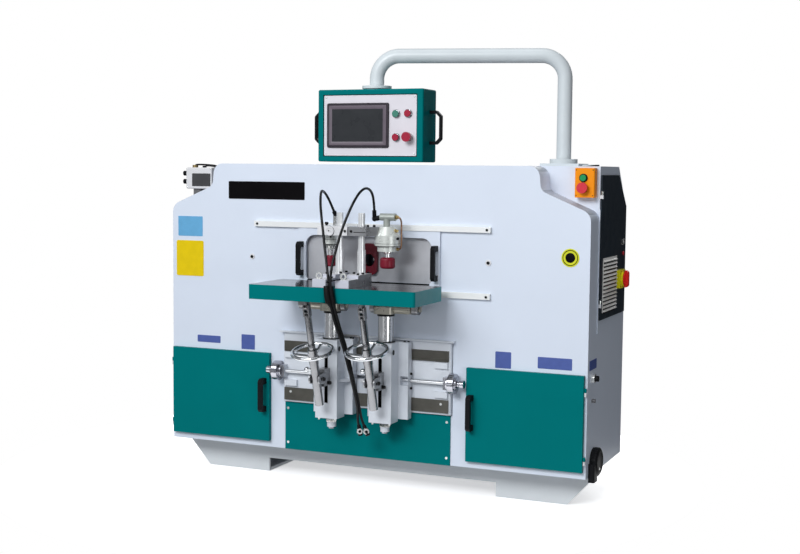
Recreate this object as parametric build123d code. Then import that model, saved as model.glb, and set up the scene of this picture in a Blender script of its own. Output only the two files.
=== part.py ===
from build123d import *
import os
import math

os.makedirs("parts", exist_ok=True)

# ---------------------------------------------------------------- driving dimensions (mm)
# Drawn with the front plane of the mask at Y = 0, the floor at Z = 0 and the middle of the
# machine at X = 0, then set back so that the origin is the centre of the four floor anchors.
SETBACK = 302.0

HALF_W = 825.0            # half width of mask and cabinet
MASK_Z0, MASK_Z1 = 124.0, 1189.0
MASK_D = 111.0            # depth of the mask
SHEET = 4.0               # sheet thickness of the mask
BODY_Y1 = 491.0           # rear face of the cabinet
BASE_TOP = 655.0          # top of the low part of the cabinet
TOWER_X0 = 560.0          # inner side of the electrical tower
TOWER_TOP = 1190.0

ANCHOR_X, ANCHOR_DY, ANCHOR_R = 590.0, 150.0, 9.0

DOOR_X0, DOOR_X1, DOOR_Z0, DOOR_Z1, DOOR_T = 393.0, 816.0, 149.0, 482.0, 16.0
HINGE_X, HINGE_Y, HINGE_R, PIN_R = 820.5, -8.0, 4.5, 2.5
FIT = 0.08                # radial running fit

GUARD_CX, GUARD_HW, WIN_HW = 4.0, 281.0, 250.0
GUARD_Z0, GUARD_Z1, WIN_Z0, WIN_Z1, WIN_R = 741.0, 959.5, 770.0, 931.0, 38.0

ARM_X, ARM_Y, ARM_Z, ARM_R, ARM_BEND = 663.5, 215.0, 1578.0, 26.0, 82.0
SOCKET_TOP = 1215.0       # top of the flange that carries the pendant arm
PEN_X, PEN_Y = 13.0, 45.0
PEN_HW, PEN_Y0, PEN_Y1, PEN_Z0, PEN_Z1 = 206.0, -17.0, 108.0, 1199.0, 1457.0

SP_X, SP_Z = 5.0, 845.0   # spindle axis

UX = 106.0                # centre of each knee unit
COL_Y, COL_R = -68.0, 28.0
PIV_Y, PIV_Z = -68.0, 684.0        # table tilt axis
LUG_Y, LUG_Z = -270.0, 697.0       # strut pivot under the table
STRUT_LEAN = 16.0
CLAMP_Z = 431.0                    # strut pivot on the clamp block
CLAMP_Y = LUG_Y + (LUG_Z - CLAMP_Z) * math.tan(math.radians(STRUT_LEAN))
STRUT_L = (LUG_Z - CLAMP_Z) / math.cos(math.radians(STRUT_LEAN))
ROD_R, SLEEVE_R, SLEEVE_LOW, SLEEVE_TOP = 12.0, 15.5, -98.5, 58.5
TAB_X0, TAB_X1, TAB_Y0, TAB_Y1, TAB_Z0, TAB_Z1 = 16.0, 316.0, -310.0, -60.0, 717.0, 768.5
SCREW_Y, SCREW_Z, SCREW_R = -31.0, 424.0, 7.0
HOSE_D = 9.0


# ---------------------------------------------------------------- helpers
def bx(x0, x1, y0, y1, z0, z1):
    return Pos((x0 + x1) / 2, (y0 + y1) / 2, (z0 + z1) / 2) * Box(x1 - x0, y1 - y0, z1 - z0)


def cx(x0, x1, y, z, r):
    return Pos((x0 + x1) / 2, y, z) * Rot(0, 90, 0) * Cylinder(r, x1 - x0)


def cy(x, y0, y1, z, r):
    return Pos(x, (y0 + y1) / 2, z) * Rot(90, 0, 0) * Cylinder(r, y1 - y0)


def cz(x, y, z0, z1, r):
    return Pos(x, y, (z0 + z1) / 2) * Cylinder(r, z1 - z0)


def face2(pts, fillets=()):
    """Planar face from 2D points, with chosen corners rounded."""
    f = make_face(Polyline(*[(a, b) for a, b in pts], close=True))
    for (a, b, r) in fillets:
        v = min(f.vertices(), key=lambda q: (q.X - a) ** 2 + (q.Y - b) ** 2)
        f = fillet(v, r)
    return f


def pxz(pts, y0, y1, fillets=()):
    return Plane(origin=(0, y1, 0), x_dir=(1, 0, 0), z_dir=(0, -1, 0)) * extrude(face2(pts, fillets), y1 - y0)


def pyz(pts, x0, x1, fillets=()):
    return Plane(origin=(x0, 0, 0), x_dir=(0, 1, 0), z_dir=(1, 0, 0)) * extrude(face2(pts, fillets), x1 - x0)


def pxy(pts, z0, z1, fillets=()):
    return Pos(0, 0, z0) * extrude(face2(pts, fillets), z1 - z0)


def rect(a0, a1, b0, b1):
    return [(a0, b0), (a1, b0), (a1, b1), (a0, b1)]


def rod(p, q, r):
    p, q = Vector(*p), Vector(*q)
    d = q - p
    pl = Plane(origin=p, z_dir=d)
    return pl * Pos(0, 0, d.length / 2) * Cylinder(r, d.length)


def zedges(s, r):
    return fillet(s.edges().filter_by(Axis.Z), r)


NODES = {}


def put(name, shape):
    NODES[name] = Pos(0, -SETBACK, 0) * shape


def flip(s):
    return mirror(s, about=Plane.YZ)


def both(s):
    return s + flip(s)


# ---------------------------------------------------------------- plinth and cabinet
front_pts = [(464, 0), (730, 0), (818, 98), (818, 124), (-818, 124), (-818, 98), (-730, 0), (-464, 0),
             (-464, 52), (464, 52)]
rear_pts = [(464, 0), (690, 0), (690, 124), (-690, 124), (-690, 0), (-464, 0), (-464, 52), (464, 52)]
plinth = pxz(front_pts, 115, 125) + pxz(rear_pts, 479, 489)
web = bx(680, 690, 115, 489, 0, 124)
sole = bx(464, 690, 115, 489, 0, 12)
for dy in (-ANCHOR_DY, ANCHOR_DY):
    sole -= cz(ANCHOR_X, SETBACK + dy, -1, 13, ANCHOR_R)
rib = bx(464, 474, 115, 489, 60, 124) + bx(464, 474, 290, 312, 0, 124)
plinth += both(web + sole + rib)
put("plinth_frame", plinth)

tower_pts = [(MASK_D, MASK_Z0), (MASK_D, TOWER_TOP), (374, TOWER_TOP), (BODY_Y1, 1040), (BODY_Y1, MASK_Z0)]
cab = bx(-HALF_W, HALF_W, MASK_D, BODY_Y1, MASK_Z0, BASE_TOP) + pyz(tower_pts, TOWER_X0, HALF_W)
for a, b in ((-HALF_W + 5, -382.5), (-377.5, 377.5), (382.5, HALF_W - 5)):
    cab -= bx(a, b, MASK_D - 1, BODY_Y1 - 5, MASK_Z0 + 5, BASE_TOP - 5)
inner = [(MASK_D + 5, BASE_TOP), (MASK_D + 5, TOWER_TOP - 5), (371, TOWER_TOP - 5), (BODY_Y1 - 5, 1037),
         (BODY_Y1 - 5, BASE_TOP)]
cab -= pyz(inner, TOWER_X0 + 5, HALF_W - 5)
cab -= pyz([(135, 675), (135, 1145), (345, 1145), (462, 1010), (462, 675)], HALF_W - 10, HALF_W + 10)
# pad, socket flange and spigot that carry the pendant arm
cab += bx(596, 736, 150, 282, TOWER_TOP - 1, TOWER_TOP + 9) + bx(736, 788, 190, 236, TOWER_TOP - 1, TOWER_TOP + 6)
cab += cz(ARM_X, ARM_Y, TOWER_TOP, SOCKET_TOP, 49) + cz(ARM_X, ARM_Y, TOWER_TOP, SOCKET_TOP + 76, 22 - FIT)
put("main_cabinet", cab)

hou = bx(-430, 430, MASK_D, BODY_Y1, BASE_TOP, 1100)
hou -= bx(-425, 425, MASK_D - 1, BODY_Y1 - 5, BASE_TOP + 5, 1095)
hou -= cy(0, BODY_Y1 - 20, BODY_Y1 + 20, 860, 71)
hou += cy(0, BODY_Y1 - 5, BODY_Y1 + 75, 860, 75) - cy(0, BODY_Y1 - 6, BODY_Y1 + 76, 860, 72)
put("spindle_housing", hou)


# ---------------------------------------------------------------- front mask
def mask_outline(d):
    k = 0.663 * d
    x, zt, zb = HALF_W - d, MASK_Z1 - d, MASK_Z0 + d
    half = [(x, zb), (x, 1030 - k), (648 - d, 1105 - k), (640 - d, zt)]
    pts = half + [(-a, b) for a, b in reversed(half)]
    fl = []
    for s in (1, -1):
        fl += [(s * x, 1030 - k, 42 - d), (s * (648 - d), 1105 - k, 32 + d), (s * (640 - d), zt, 38 - d)]
    return pts, fl


po, fo = mask_outline(0.0)
pi, fi = mask_outline(SHEET)
mask = pxz(po, 0, MASK_D, fo) - pxz(pi, SHEET, MASK_D + 1, fi)
mask -= pxz(rect(-246, 254, 752, 930), -1, SHEET + 1, [(-246, 930, 34), (254, 930, 34)])
mask -= bx(-337, 337, -1, SHEET + 1, 304, 566)
for s in (1, -1):
    a, b = sorted((s * 412, s * 800))
    mask -= bx(a, b, -1, SHEET + 1, 166, 460)
put("front_mask", mask)

cov = zedges(bx(-331, 331, -4, 0, MASK_Z0, 303), 0.5)
put("center_cover", cov)

# ---------------------------------------------------------------- ways
bed = bx(-335, 335, -14, 100, 307, 566)
bed = fillet(bed.edges().filter_by(Axis.Z).sort_by(Axis.Y)[:2], 9)
bed += bx(-346, 346, -24, -1, 566, 571)
bed -= bx(-340, 340, -15, 5, 413, 426) + bx(-340, 340, 4, 18, 403, 437)
for s in (1, -1):
    def bxs(a, b, *yz):
        return bx(min(s * a, s * b), max(s * a, s * b), *yz)

    # bracket and round cover of the lead screw, and the two white clamps above and below it
    brk = bxs(316, 334, -44, -12, 402, 446)
    for a, b, r in ((328, 366, 24), (338, 360, 36)):
        brk += cx(min(s * a, s * b), max(s * a, s * b), SCREW_Y, SCREW_Z, r) & bxs(320, 380, -80, -1, 380, 470)
    for z0, z1 in ((473, 495), (368, 390)):
        bed += bxs(274, 325, -24, -13, z0, z1)
    brk -= cx(min(s * 300, s * 380), max(s * 300, s * 380), SCREW_Y, SCREW_Z, SCREW_R + FIT)
    bed += brk
put("way_bed", bed)

strips = bx(-327, 327, -20, -14, 497, 535.5) + bx(-327, 327, -20, -14, 314, 360.5)
put("way_strips", strips)

# ---------------------------------------------------------------- guard
rails = None
for z0, z1, g0, g1 in ((956.5, 976.5, 955.5, 962.5), (724, 745, 738, 746)):
    r = bx(-461, 473, -12, 0, z0, z1) - bx(-462, 474, -8.8, -3.2, g0, g1)
    rails = r if rails is None else rails + r
put("guard_rails", rails)

gx0, gx1 = GUARD_CX - GUARD_HW, GUARD_CX + GUARD_HW
wx0, wx1 = GUARD_CX - WIN_HW, GUARD_CX + WIN_HW
guard = pxz(rect(gx0, gx1, GUARD_Z0, GUARD_Z1), -8, -4)
guard -= pxz(rect(wx0, wx1, WIN_Z0, WIN_Z1), -9, -3,
             [(wx0, WIN_Z1, WIN_R), (wx1, WIN_Z1, WIN_R), (wx0, WIN_Z0, 12), (wx1, WIN_Z0, 12)])
put("guard_panel", guard)


def handle(x, y, z0, z1, proj, w, t, c=10.0, leg=20.0):
    """Bow handle standing on a plane at y, reaching towards -Y, with corners cut by c."""
    s = pyz([(y, z0), (y - proj + c, z0), (y - proj, z0 + c), (y - proj, z1 - c), (y - proj + c, z1), (y, z1)],
            x - w / 2, x + w / 2, [(y - proj + c, z0, c / 2), (y - proj, z0 + c, c / 2), (y - proj, z1 - c, c / 2),
                                   (y - proj + c, z1, c / 2)])
    s -= pyz([(y + 1, z0 + leg), (y - proj + t + c - 6, z0 + leg), (y - proj + t, z0 + leg + c - 6),
              (y - proj + t, z1 - leg - c + 6), (y - proj + t + c - 6, z1 - leg), (y + 1, z1 - leg)], x - w, x + w)
    return s


put("guard_handles", handle(GUARD_CX - 266, -8, 781, 906, 35, 16, 12) + handle(GUARD_CX + 266, -8, 781, 906, 35, 16, 12))

# ---------------------------------------------------------------- doors and hinges
HZ = (188.0, 425.0)
dr = pxz(rect(DOOR_X0, DOOR_X1, DOOR_Z0, DOOR_Z1), -1 - DOOR_T, -1)
dr -= bx(DOOR_X0 + 3, DOOR_X1 - 3, -1 - DOOR_T + 3, 0, DOOR_Z0 + 3, DOOR_Z1 - 3)
dr += bx(DOOR_X0 + 3, DOOR_X1 - 3, -4, -1, 300, 320)
hin = None
for z in HZ:
    kn = cz(HINGE_X, HINGE_Y, z + 0.5, z + 14, HINGE_R) + bx(DOOR_X1 - 10, HINGE_X - 1, -11, -5, z + 0.5, z + 14)
    kn -= cz(HINGE_X, HINGE_Y, z, z + 15, PIN_R + FIT)
    dr += kn
    lo = cz(HINGE_X, HINGE_Y, z - 14, z - 0.5, HINGE_R) + bx(HINGE_X - 3, HINGE_X + 3, HINGE_Y, 0, z - 14, z - 0.5)
    lo += cz(HINGE_X, HINGE_Y, z - 10, z + 13, PIN_R)
    hin = lo if hin is None else hin + lo
put("right_door", dr)
put("left_door", flip(dr))
put("right_door_handle", handle(413, -1 - DOOR_T, 262, 388, 38, 17, 13))
put("left_door_handle", handle(-413, -1 - DOOR_T, 262, 388, 38, 17, 13))

# electrical door on the right side, hinged on its front edge
EX0, EX1 = 826.0, 831.0
EHX, EHY = 834.0, 111.0
edoor = pyz([(118, 658), (118, 1160), (358, 1160), (475, 1046), (475, 658)], EX0, EX1,
            [(118, 658, 4), (118, 1160, 4), (475, 658, 4)])
for i in range(14):
    edoor -= bx(EX0 - 5, EX1 + 5, 154, 338, 683 + 13.4 * i, 689 + 13.4 * i)
SWY, SWZ, SWX = 387.0, 785.0, 845.0
edoor += fillet(bx(EX1 - 1, SWX, 350, 424, 752, 818).edges().filter_by(Axis.X), 4)   # body of the rotary main switch
edoor += cx(SWX - 1, SWX + 5, SWY, SWZ, 27)
for z in (716.0, 1092.0):
    kn = cz(EHX, EHY, z + 0.5, z + 13, 4) + bx(EX1 - 2, EHX + 3, EHY + 1, 126, z + 0.5, z + 13)
    kn -= cz(EHX, EHY, z, z + 14, 2 + FIT)
    edoor += kn
    lo = cz(EHX, EHY, z - 13, z - 0.5, 4) + bx(HALF_W, EHX, EHY - 3, EHY + 3, z - 13, z - 0.5)
    lo += cz(EHX, EHY, z - 10, z + 12, 2)
    hin = hin + lo
edoor -= cx(EX0 + 1.5, SWX + 10, SWY, SWZ, 5 + FIT)
put("electrical_door", edoor)
hin_l = None
for z in HZ:
    lo = cz(HINGE_X, HINGE_Y, z - 14, z - 0.5, HINGE_R) + bx(HINGE_X - 3, HINGE_X + 3, HINGE_Y, 0, z - 14, z - 0.5)
    lo += cz(HINGE_X, HINGE_Y, z - 10, z + 13, PIN_R)
    hin_l = lo if hin_l is None else hin_l + lo
put("door_hinges", hin + flip(hin_l))
knob = fillet(cx(SWX + 5.5, SWX + 11, SWY, SWZ, 22).faces().sort_by(Axis.X)[-1].edges(), 4)
knob += pxz([(SWX + 8, SWZ - 31), (SWX + 22, SWZ - 31), (SWX + 22, SWZ + 31), (SWX + 8, SWZ + 31)], SWY - 9, SWY + 9,
            [(SWX + 22, SWZ - 31, 11), (SWX + 22, SWZ + 31, 11)])
knob += cx(EX0 + 2, SWX + 10, SWY, SWZ, 5)
put("main_switch_knob", knob)

# ---------------------------------------------------------------- small fixed items on the body
scr = None
pts = [(s * 318, -4, z) for s in (1, -1) for z in (151, 280)]
pts += [(x, -12, z) for x in (-447.5, 460) for z in (966.5, 733)]
pts += [(s * 300, -20, 346) for s in (1, -1)]
for x, y, z in pts:
    h = cy(x, y - 2, y, z, 4.5)
    scr = h if scr is None else scr + h
put("panel_screws", scr)

jb = fillet(bx(-838, -722, 113, 175, 1090, 1173).edges(), 4)
jb += bx(-812, -780, 126, 162, BASE_TOP, 1092)
for z in (1118, 1150):
    jb += cx(-858, -837, 132, z, 9.5)
jb += cz(-812, 140, 1172, 1183, 11) + cz(-770, 140, 1172, 1180, 8)
put("junction_box", jb)

inl = cx(HALF_W, HALF_W + 12, 55, 466, 16) + cx(HALF_W + 12, HALF_W + 24, 55, 466, 10)
inl += cx(HALF_W, HALF_W + 12, 62, 387, 7)
cowl = fillet(cx(HALF_W, HALF_W + 25, 92, 170, 48).faces().sort_by(Axis.X)[-1].edges(), 6)
cowl += zedges(bx(HALF_W, HALF_W + 23, 28, 74, 108, 172), 6)
put("side_inlets", inl + cowl)

STX, STY0 = 775.0, 76.0
st = zedges(bx(744, 814, STY0, MASK_D, 1083, 1184), 5)
st -= bx(750, 808, STY0 + 6, MASK_D - 4, 1089, 1178)
st += cy(STX, STY0 - 4, STY0, 1150, 14.5) + cy(STX, STY0 - 4, STY0, 1116, 14.5)
st -= cy(STX, STY0 - 6, STY0 + 8, 1150, 11 + FIT) + cy(STX, STY0 - 6, STY0 + 8, 1116, 8 + FIT)
put("station_box", st)
put("station_start_button", cy(STX, STY0 - 9, STY0 + 12, 1150, 11))
put("station_stop_button", cy(STX, STY0 - 22, STY0 - 10, 1116, 18.5) + cy(STX, STY0 - 11, STY0 + 12, 1116, 8))

# ---------------------------------------------------------------- pendant arm and pendant
dxy = Vector(PEN_X - ARM_X, PEN_Y - ARM_Y, 0)
path_pts = [(ARM_X, ARM_Y, SOCKET_TOP + 0.5), (ARM_X, ARM_Y, ARM_Z), (PEN_X, PEN_Y, ARM_Z), (PEN_X, PEN_Y, PEN_Z1 + 4)]
arm_path = FilletPolyline(*path_pts, radius=ARM_BEND)
prof = Plane(origin=path_pts[0], z_dir=(0, 0, 1))
arm = sweep(prof * Circle(ARM_R), path=arm_path) - sweep(prof * Circle(22), path=arm_path)
arm += cz(PEN_X, PEN_Y, PEN_Z1 + 4, PEN_Z1 + 14, 53) - cz(PEN_X, PEN_Y, PEN_Z1, PEN_Z1 + 20, 24)
put("pendant_arm", arm)

px0, px1 = PEN_X - PEN_HW, PEN_X + PEN_HW
pen = fillet(bx(px0, px1, PEN_Y0, PEN_Y1, PEN_Z0, PEN_Z1).edges(), 6)
pen -= bx(px0 + 4, px1 - 4, PEN_Y0 + 5, PEN_Y1 - 4, PEN_Z0 + 4, PEN_Z1 - 4)
pen += cz(PEN_X, PEN_Y, PEN_Z1 - 4, PEN_Z1 + 3.5, 46) + cz(PEN_X, PEN_Y, PEN_Z1, PEN_Z1 + 33, 22 - FIT)
pen -= bx(-148, 81, PEN_Y0 - 2, PEN_Y0 + 8, 1256, 1401)
pen -= zedges(bx(-171.5, 196.5, PEN_Y0 - 2, PEN_Y0 + 3, 1217.5, 1438.5), 0.5)      # recess of the face plate
PB = {"pendant_green_button": (116, 1369), "pendant_red_button": (162, 1370), "pendant_reset_button": (116, 1286)}
for x, z in PB.values():
    pen += cy(x, PEN_Y0 - 3, PEN_Y0 + 4, z, 14.2)
    pen -= cy(x, PEN_Y0 - 6, PEN_Y0 + 8, z, 12 + FIT)

ESX, ESZ = 165.0, 1287.0
pen += cy(ESX, PEN_Y0 - 6, PEN_Y0 + 4, ESZ, 14)
pen -= cy(ESX, PEN_Y0 - 8, PEN_Y0 + 8, ESZ, 8 + FIT)
put("pendant_box", pen)
for n, (x, z) in PB.items():
    put(n, cy(x, PEN_Y0 - 10, PEN_Y0 + 14, z, 12))
put("pendant_emergency_stop", cy(ESX, PEN_Y0 - 28, PEN_Y0 - 14, ESZ, 17) + cy(ESX, PEN_Y0 - 15, PEN_Y0 + 14, ESZ, 8))
scn = fillet(bx(-154, 87, PEN_Y0 - 5, PEN_Y0 + 3, 1250, 1407).edges().filter_by(Axis.Y), 5)
scn += bx(-148, 81, PEN_Y0 + 3, PEN_Y0 + 36, 1256, 1401)
put("touch_screen", scn)


def side_handle(xf, s, z0, z1):
    h = handle(0, 0, z0, z1, 44, 18, 7.5, 18.0, 11.0)
    return Pos(xf, PEN_Y + 7, 0) * Rot(0, 0, 90 * s) * h


put("pendant_handles", side_handle(px1, 1, 1262, 1382) + side_handle(px0, -1, 1262, 1382))

# ---------------------------------------------------------------- spindle and its axes
xd = bx(-400, 400, 168, 192, 660, 685) + bx(-400, 400, 388, 412, 660, 685)
xd += cx(-380, 380, 290, 673, 8)
xd += bx(-400, -380, 270, 310, 660, 690) + bx(300, 320, 270, 310, 660, 690) - cx(290, 330, 290, 673, 8)
xd += cx(330, 422, 290, 702, 40) - bx(320, 430, 240, 340, 640, 660)
put("x_axis_drive", xd)

car = bx(SP_X - 120, SP_X + 120, 160, 420, 686, 706)
car += bx(SP_X - 30, SP_X + 30, 272, 308, 663, 690) - cx(SP_X - 40, SP_X + 40, 290, 673, 8 + FIT)
car += bx(SP_X - 60, SP_X + 60, 330, 380, 700, 1000)
put("x_carriage", car)

sh = bx(SP_X - 430, SP_X + 430, 14, 18, 700, 970)
sh += pxz(rect(SP_X - 33, SP_X + 33, 792, 906), 1, 16, [(SP_X - 33, 792, 24), (SP_X + 33, 792, 24),
                                                      (SP_X - 33, 906, 24), (SP_X + 33, 906, 24)])
sh -= cy(SP_X, -5, 30, SP_Z, 23)
for s in (1, -1):
    a, b = sorted((SP_X + s * 70, SP_X + s * 78))
    sh += bx(a, b, 17, 305, 785, 905)
sh += bx(SP_X - 78, SP_X + 78, 300, 329, 760, 950)
put("shield_cradle", sh)

mot = cy(SP_X, 140, 296, SP_Z, 55) + cy(SP_X, 122, 141, SP_Z, 30)
mot += bx(SP_X - 66, SP_X + 66, 160, 280, SP_Z - 20, SP_Z + 20)
mot -= cy(SP_X, 110, 180, SP_Z, 14 + FIT)
put("spindle_motor", mot)
cut = cy(SP_X, 104, 121.5, SP_Z, 19) + cy(SP_X, 120, 170, SP_Z, 14) + cy(SP_X, 50, 105, SP_Z, 6)
put("spindle_chuck", cut)


# ---------------------------------------------------------------- table units
def strut(shape):
    return Pos(UX, CLAMP_Y, CLAMP_Z) * Rot(STRUT_LEAN, 0, 0) * shape


def unit(cyl_x, exit_pt, exit_dir, knob, knob_x, knob_z, raised, eye_x, valve, body_r, flange_r, neck_r, rod_r, pad_r, arm_pts):
    u = {}
    # knee: front box, saddle on the ways, T key, lift screw end
    kn = bx(UX - 43, UX + 43, -115, -52, 277, 562) + bx(UX - 76, UX + 81, -53, -21, 286, 562)
    kn += pxy([(UX - 42, -96), (UX - 42, -50), (UX - 76, -50), (UX - 76, -60)], 408, 418)
    kn += bx(UX - 46, UX + 46, -22, 4, 414.2, 424.8) + bx(UX - 46, UX + 46, 5.2, 16.8, 404.2, 435.8)
    kn += bx(UX - 46, UX + 46, 3, 6, 414.2, 424.8)
    kn += cz(UX, COL_Y, 240, 278, 16.5) + cz(UX, COL_Y, 234, 241, 11)
    kn -= cz(UX, COL_Y, 292, 600, COL_R + FIT)
    kn -= cx(26, 400, SCREW_Y, SCREW_Z, SCREW_R + FIT)
    kn -= bx(157, 186, -60, -33, 408, 440)
    kn -= bx(UX - 6.5, UX + 6.5, -120, -98.5, 334, 508)
    u["knee"] = kn
    # lead screw in the bracket on the bed
    ls = cx(100, 391, SCREW_Y, SCREW_Z, SCREW_R) + cx(367, 374, SCREW_Y, SCREW_Z, 13)
    ls += cx(376, 391, SCREW_Y, SCREW_Z, 14.5)
    u["lead_screw"] = ls
    # column with the tilt head and pivot shaft
    col = cz(UX, COL_Y, 352, 670, COL_R)
    col += fillet(bx(UX - 36, UX + 36, COL_Y - 37, COL_Y + 37, 664, 690).edges().filter_by(Axis.Z), 14)
    col += cx(UX + 30, 205, PIV_Y, PIV_Z, 19) + bx(UX + 30, 200, PIV_Y - 16, PIV_Y + 16, 667, 684)
    col += cx(46, 240, PIV_Y, PIV_Z, 10)
    u["column"] = col
    # table casting, hollow from below, with pivot lugs and the strut lug
    tb = zedges(bx(TAB_X0, TAB_X1, TAB_Y0, TAB_Y1, TAB_Z0, TAB_Z1), 10)
    tb -= bx(TAB_X0 + 9, TAB_X1 - 9, TAB_Y0 + 9, TAB_Y1 - 9, TAB_Z0 - 1, TAB_Z1 - 9.5)
    for a, b in ((50, 66), (210, 234)):
        lug = bx(a, b, PIV_Y - 20, PIV_Y + 20, PIV_Z, TAB_Z1 - 5) + cx(a, b, PIV_Y, PIV_Z, 20)
        tb += lug
        tb -= cx(a - 1, b + 1, PIV_Y, PIV_Z, 10 + FIT)
    lug = bx(UX - 6, UX + 6, LUG_Y - 13, LUG_Y + 13, LUG_Z, TAB_Z1 - 5) + cx(UX - 6, UX + 6, LUG_Y, LUG_Z, 13)
    tb += lug
    tb -= cx(UX - 7, UX + 7, LUG_Y, LUG_Z, 9)
    u["table"] = tb
    # clamp block that slides in the knee's slot and holds the strut in a fork
    cb = bx(UX - 15, UX + 15, -160, -116, CLAMP_Z - 31, CLAMP_Z + 31)
    cb += bx(UX - 6, UX + 6, -117, -100, CLAMP_Z - 15, CLAMP_Z + 15)
    cb += bx(UX - 21.5, UX + 21.5, -165, -150, CLAMP_Z - 22, CLAMP_Z + 22)
    for s in (1, -1):
        a, b = sorted((UX + s * 16, UX + s * 21.5))
        cb += pyz([(-212, CLAMP_Z - 15), (-212, CLAMP_Z + 15), (-152, CLAMP_Z + 22), (-152, CLAMP_Z - 22)], a, b,
                  [(-212, CLAMP_Z - 15, 13), (-212, CLAMP_Z + 15, 13)])
    cb -= cx(UX - 40, UX + 40, CLAMP_Y, CLAMP_Z, 6 + FIT)
    u["strut_clamp"] = cb
    # strut sleeve with trunnions and ball knob
    top = SLEEVE_TOP + raised
    sl = cz(0, 0, SLEEVE_LOW, top, SLEEVE_R) - cz(0, 0, SLEEVE_LOW + 13, top + 1, ROD_R + FIT)
    sl += cx(-21, 21, 0, 0, 6) - Cylinder(14, 40)
    a, b = sorted((14 * knob, (knob_x - 3) * knob))
    sl += Pos(knob_x * knob, 0, knob_z) * Sphere(10) + cx(a, b, 0, knob_z, 6)
    u["strut_sleeve"] = strut(sl)
    # strut rod with the U-joint yoke
    rd = cz(0, 0, -31.5, STRUT_L - 30, ROD_R)
    rd += bx(-11.5, 11.5, -9.5, 9.5, STRUT_L - 37, STRUT_L - 20)
    for a, b in ((-11.5, -6.8), (6.8, 11.5)):
        rd += bx(a, b, -9.5, 9.5, STRUT_L - 22, STRUT_L) + cx(a, b, 0, STRUT_L, 9.5)
    rd += cx(-11.5, 11.5, 0, STRUT_L, 5)
    u["strut_rod"] = strut(rd)
    # handwheel nut on top of the sleeve
    hw = cz(0, 0, top + 0.6, top + 55, 17) + Pos(0, 0, top + 48) * Torus(71, 7)
    for i in range(3):
        a = math.radians(90 + 120 * i)
        hw += rod((14 * math.cos(a), 14 * math.sin(a), top + 31), (70 * math.cos(a), 70 * math.sin(a), top + 47), 6)
    hw -= Cylinder(ROD_R + FIT, 400)
    u["handwheel"] = strut(hw)
    # clamp stand: base with eye block, stepped post, arm, air cylinder and its fittings
    cyy = -92.0
    cs = bx(18, 69, -300, -222, TAB_Z1, 796) + bx(18, 69, -223, -112, TAB_Z1, 808)
    cs += Pos(eye_x, -280, 807) * Rot(90, 0, 0) * (Cylinder(12, 8) - Cylinder(6.5, 10)) + cz(eye_x, -280, 794, 799, 5)
    cs += cz(42, -140, 806, 886, 15) + cz(42, -140, 880, 1020, 12)
    cs += pxy(arm_pts, 940, 972)
    if valve:
        cs += cz(cyl_x, cyy, 906, 942, flange_r) + Pos(cyl_x, cyy, 957) * Cone(flange_r - 2, body_r - 6, 32)
        cs += cz(cyl_x, cyy, 886, 907, body_r)
    else:
        cs += Pos(cyl_x, cyy, 949) * Cone(body_r + 2, body_r - 3, 46) + cz(cyl_x, cyy, 906, 928, flange_r)
        cs += cz(cyl_x, cyy, 888, 907, neck_r)
    e, d = Vector(*exit_pt), Vector(*exit_dir).normalized()
    if valve:
        back = e - d * 30
        cs += cz(cyl_x - 4, cyy, 968, 1000, 12) + cx(cyl_x - 28, cyl_x + 30, cyy, 1006, 13)
        cs += rod((cyl_x - 22, cyy, 1005), tuple(back), 9)
    else:
        back = e - d * 18
        cs += cz(back.X, back.Y, 970, back.Z, 10)
    cs += rod(tuple(back), tuple(e), 7.5) + Pos(*back) * Sphere(9.5)
    cs -= cz(cyl_x, cyy, 880, 966, rod_r + FIT)
    u["clamp_stand"] = cs
    ft = cz(cyl_x, cyy, 862, 962, rod_r)
    ft += fillet(cz(cyl_x, cyy, 825, 865, pad_r).edges(), 0.35 * pad_r)
    u["clamp_foot"] = ft
    return u


# ---------------------------------------------------------------- air hoses
LEFT_HOSE = [(-83, -105, 1022), (-93, -116, 1056), (-98, -142, 1086), (-93, -180, 1098), (-81, -215, 1086),
             (-69, -240, 1052), (-56, -258, 1008), (-42, -272, 958), (-29, -285, 902), (-15, -299, 850),
             (0, -314, 798), (4, -325, 750), (15, -322, 708), (14, -293, 652), (15, -256, 600), (14, -215, 545),
             (16, -182, 474), (21, -158, 410), (26, -140, 355), (28, -130, 312), (26.5, -128, 285), (31, -127, 262)]
RIGHT_HOSE = [(74, -105, 1028), (77, -115, 1062), (81, -142, 1095), (80, -182, 1110), (72, -216, 1098),
              (60, -241, 1064), (48, -259, 1024), (37, -273, 984), (26, -286, 938), (18, -297, 892),
              (10.5, -310, 845), (10, -321, 797), (16, -325, 750), (26, -321, 708), (21, -283, 652), (19, -244, 600),
              (16.5, -202, 545), (18.5, -169, 474), (23, -146, 410), (28, -128, 355), (33, -122, 312),
              (41, -124, 284), (53, -127, 262)]


def hose(pts):
    v = [Vector(*p) for p in pts]
    radii = []
    for i in range(1, len(v) - 1):
        a, b = v[i] - v[i - 1], v[i + 1] - v[i]
        t = math.radians(a.get_angle(b))
        radii.append(0.45 * min(a.length, b.length) / math.tan(t / 2))
    path = FilletPolyline(*pts, radius=radii)
    sec = Plane(origin=v[0], z_dir=(v[1] - v[0]))
    tube = sweep(sec * Circle(HOSE_D / 2), path=path)
    length = path.length
    print("hose radii", [round(r) for r in radii], "length", round(length, 1), "volume ratio",
          round(tube.volume / (length * math.pi * HOSE_D ** 2 / 4), 4))
    return tube


def connector(pts):
    a, b = Vector(*pts[-2]), Vector(*pts[-1])
    d = (b - a).normalized()
    return (rod(tuple(b), tuple(b + d * 8), 6.5) + rod(tuple(b + d * 8), tuple(b + d * 24), 9.5)
            + rod(tuple(b + d * 24), tuple(b + d * 32), 7.5))


def direction(pts):
    return tuple(Vector(*pts[1]) - Vector(*pts[0]))


def mirrored(p):
    return (-p[0], p[1], p[2])


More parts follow.
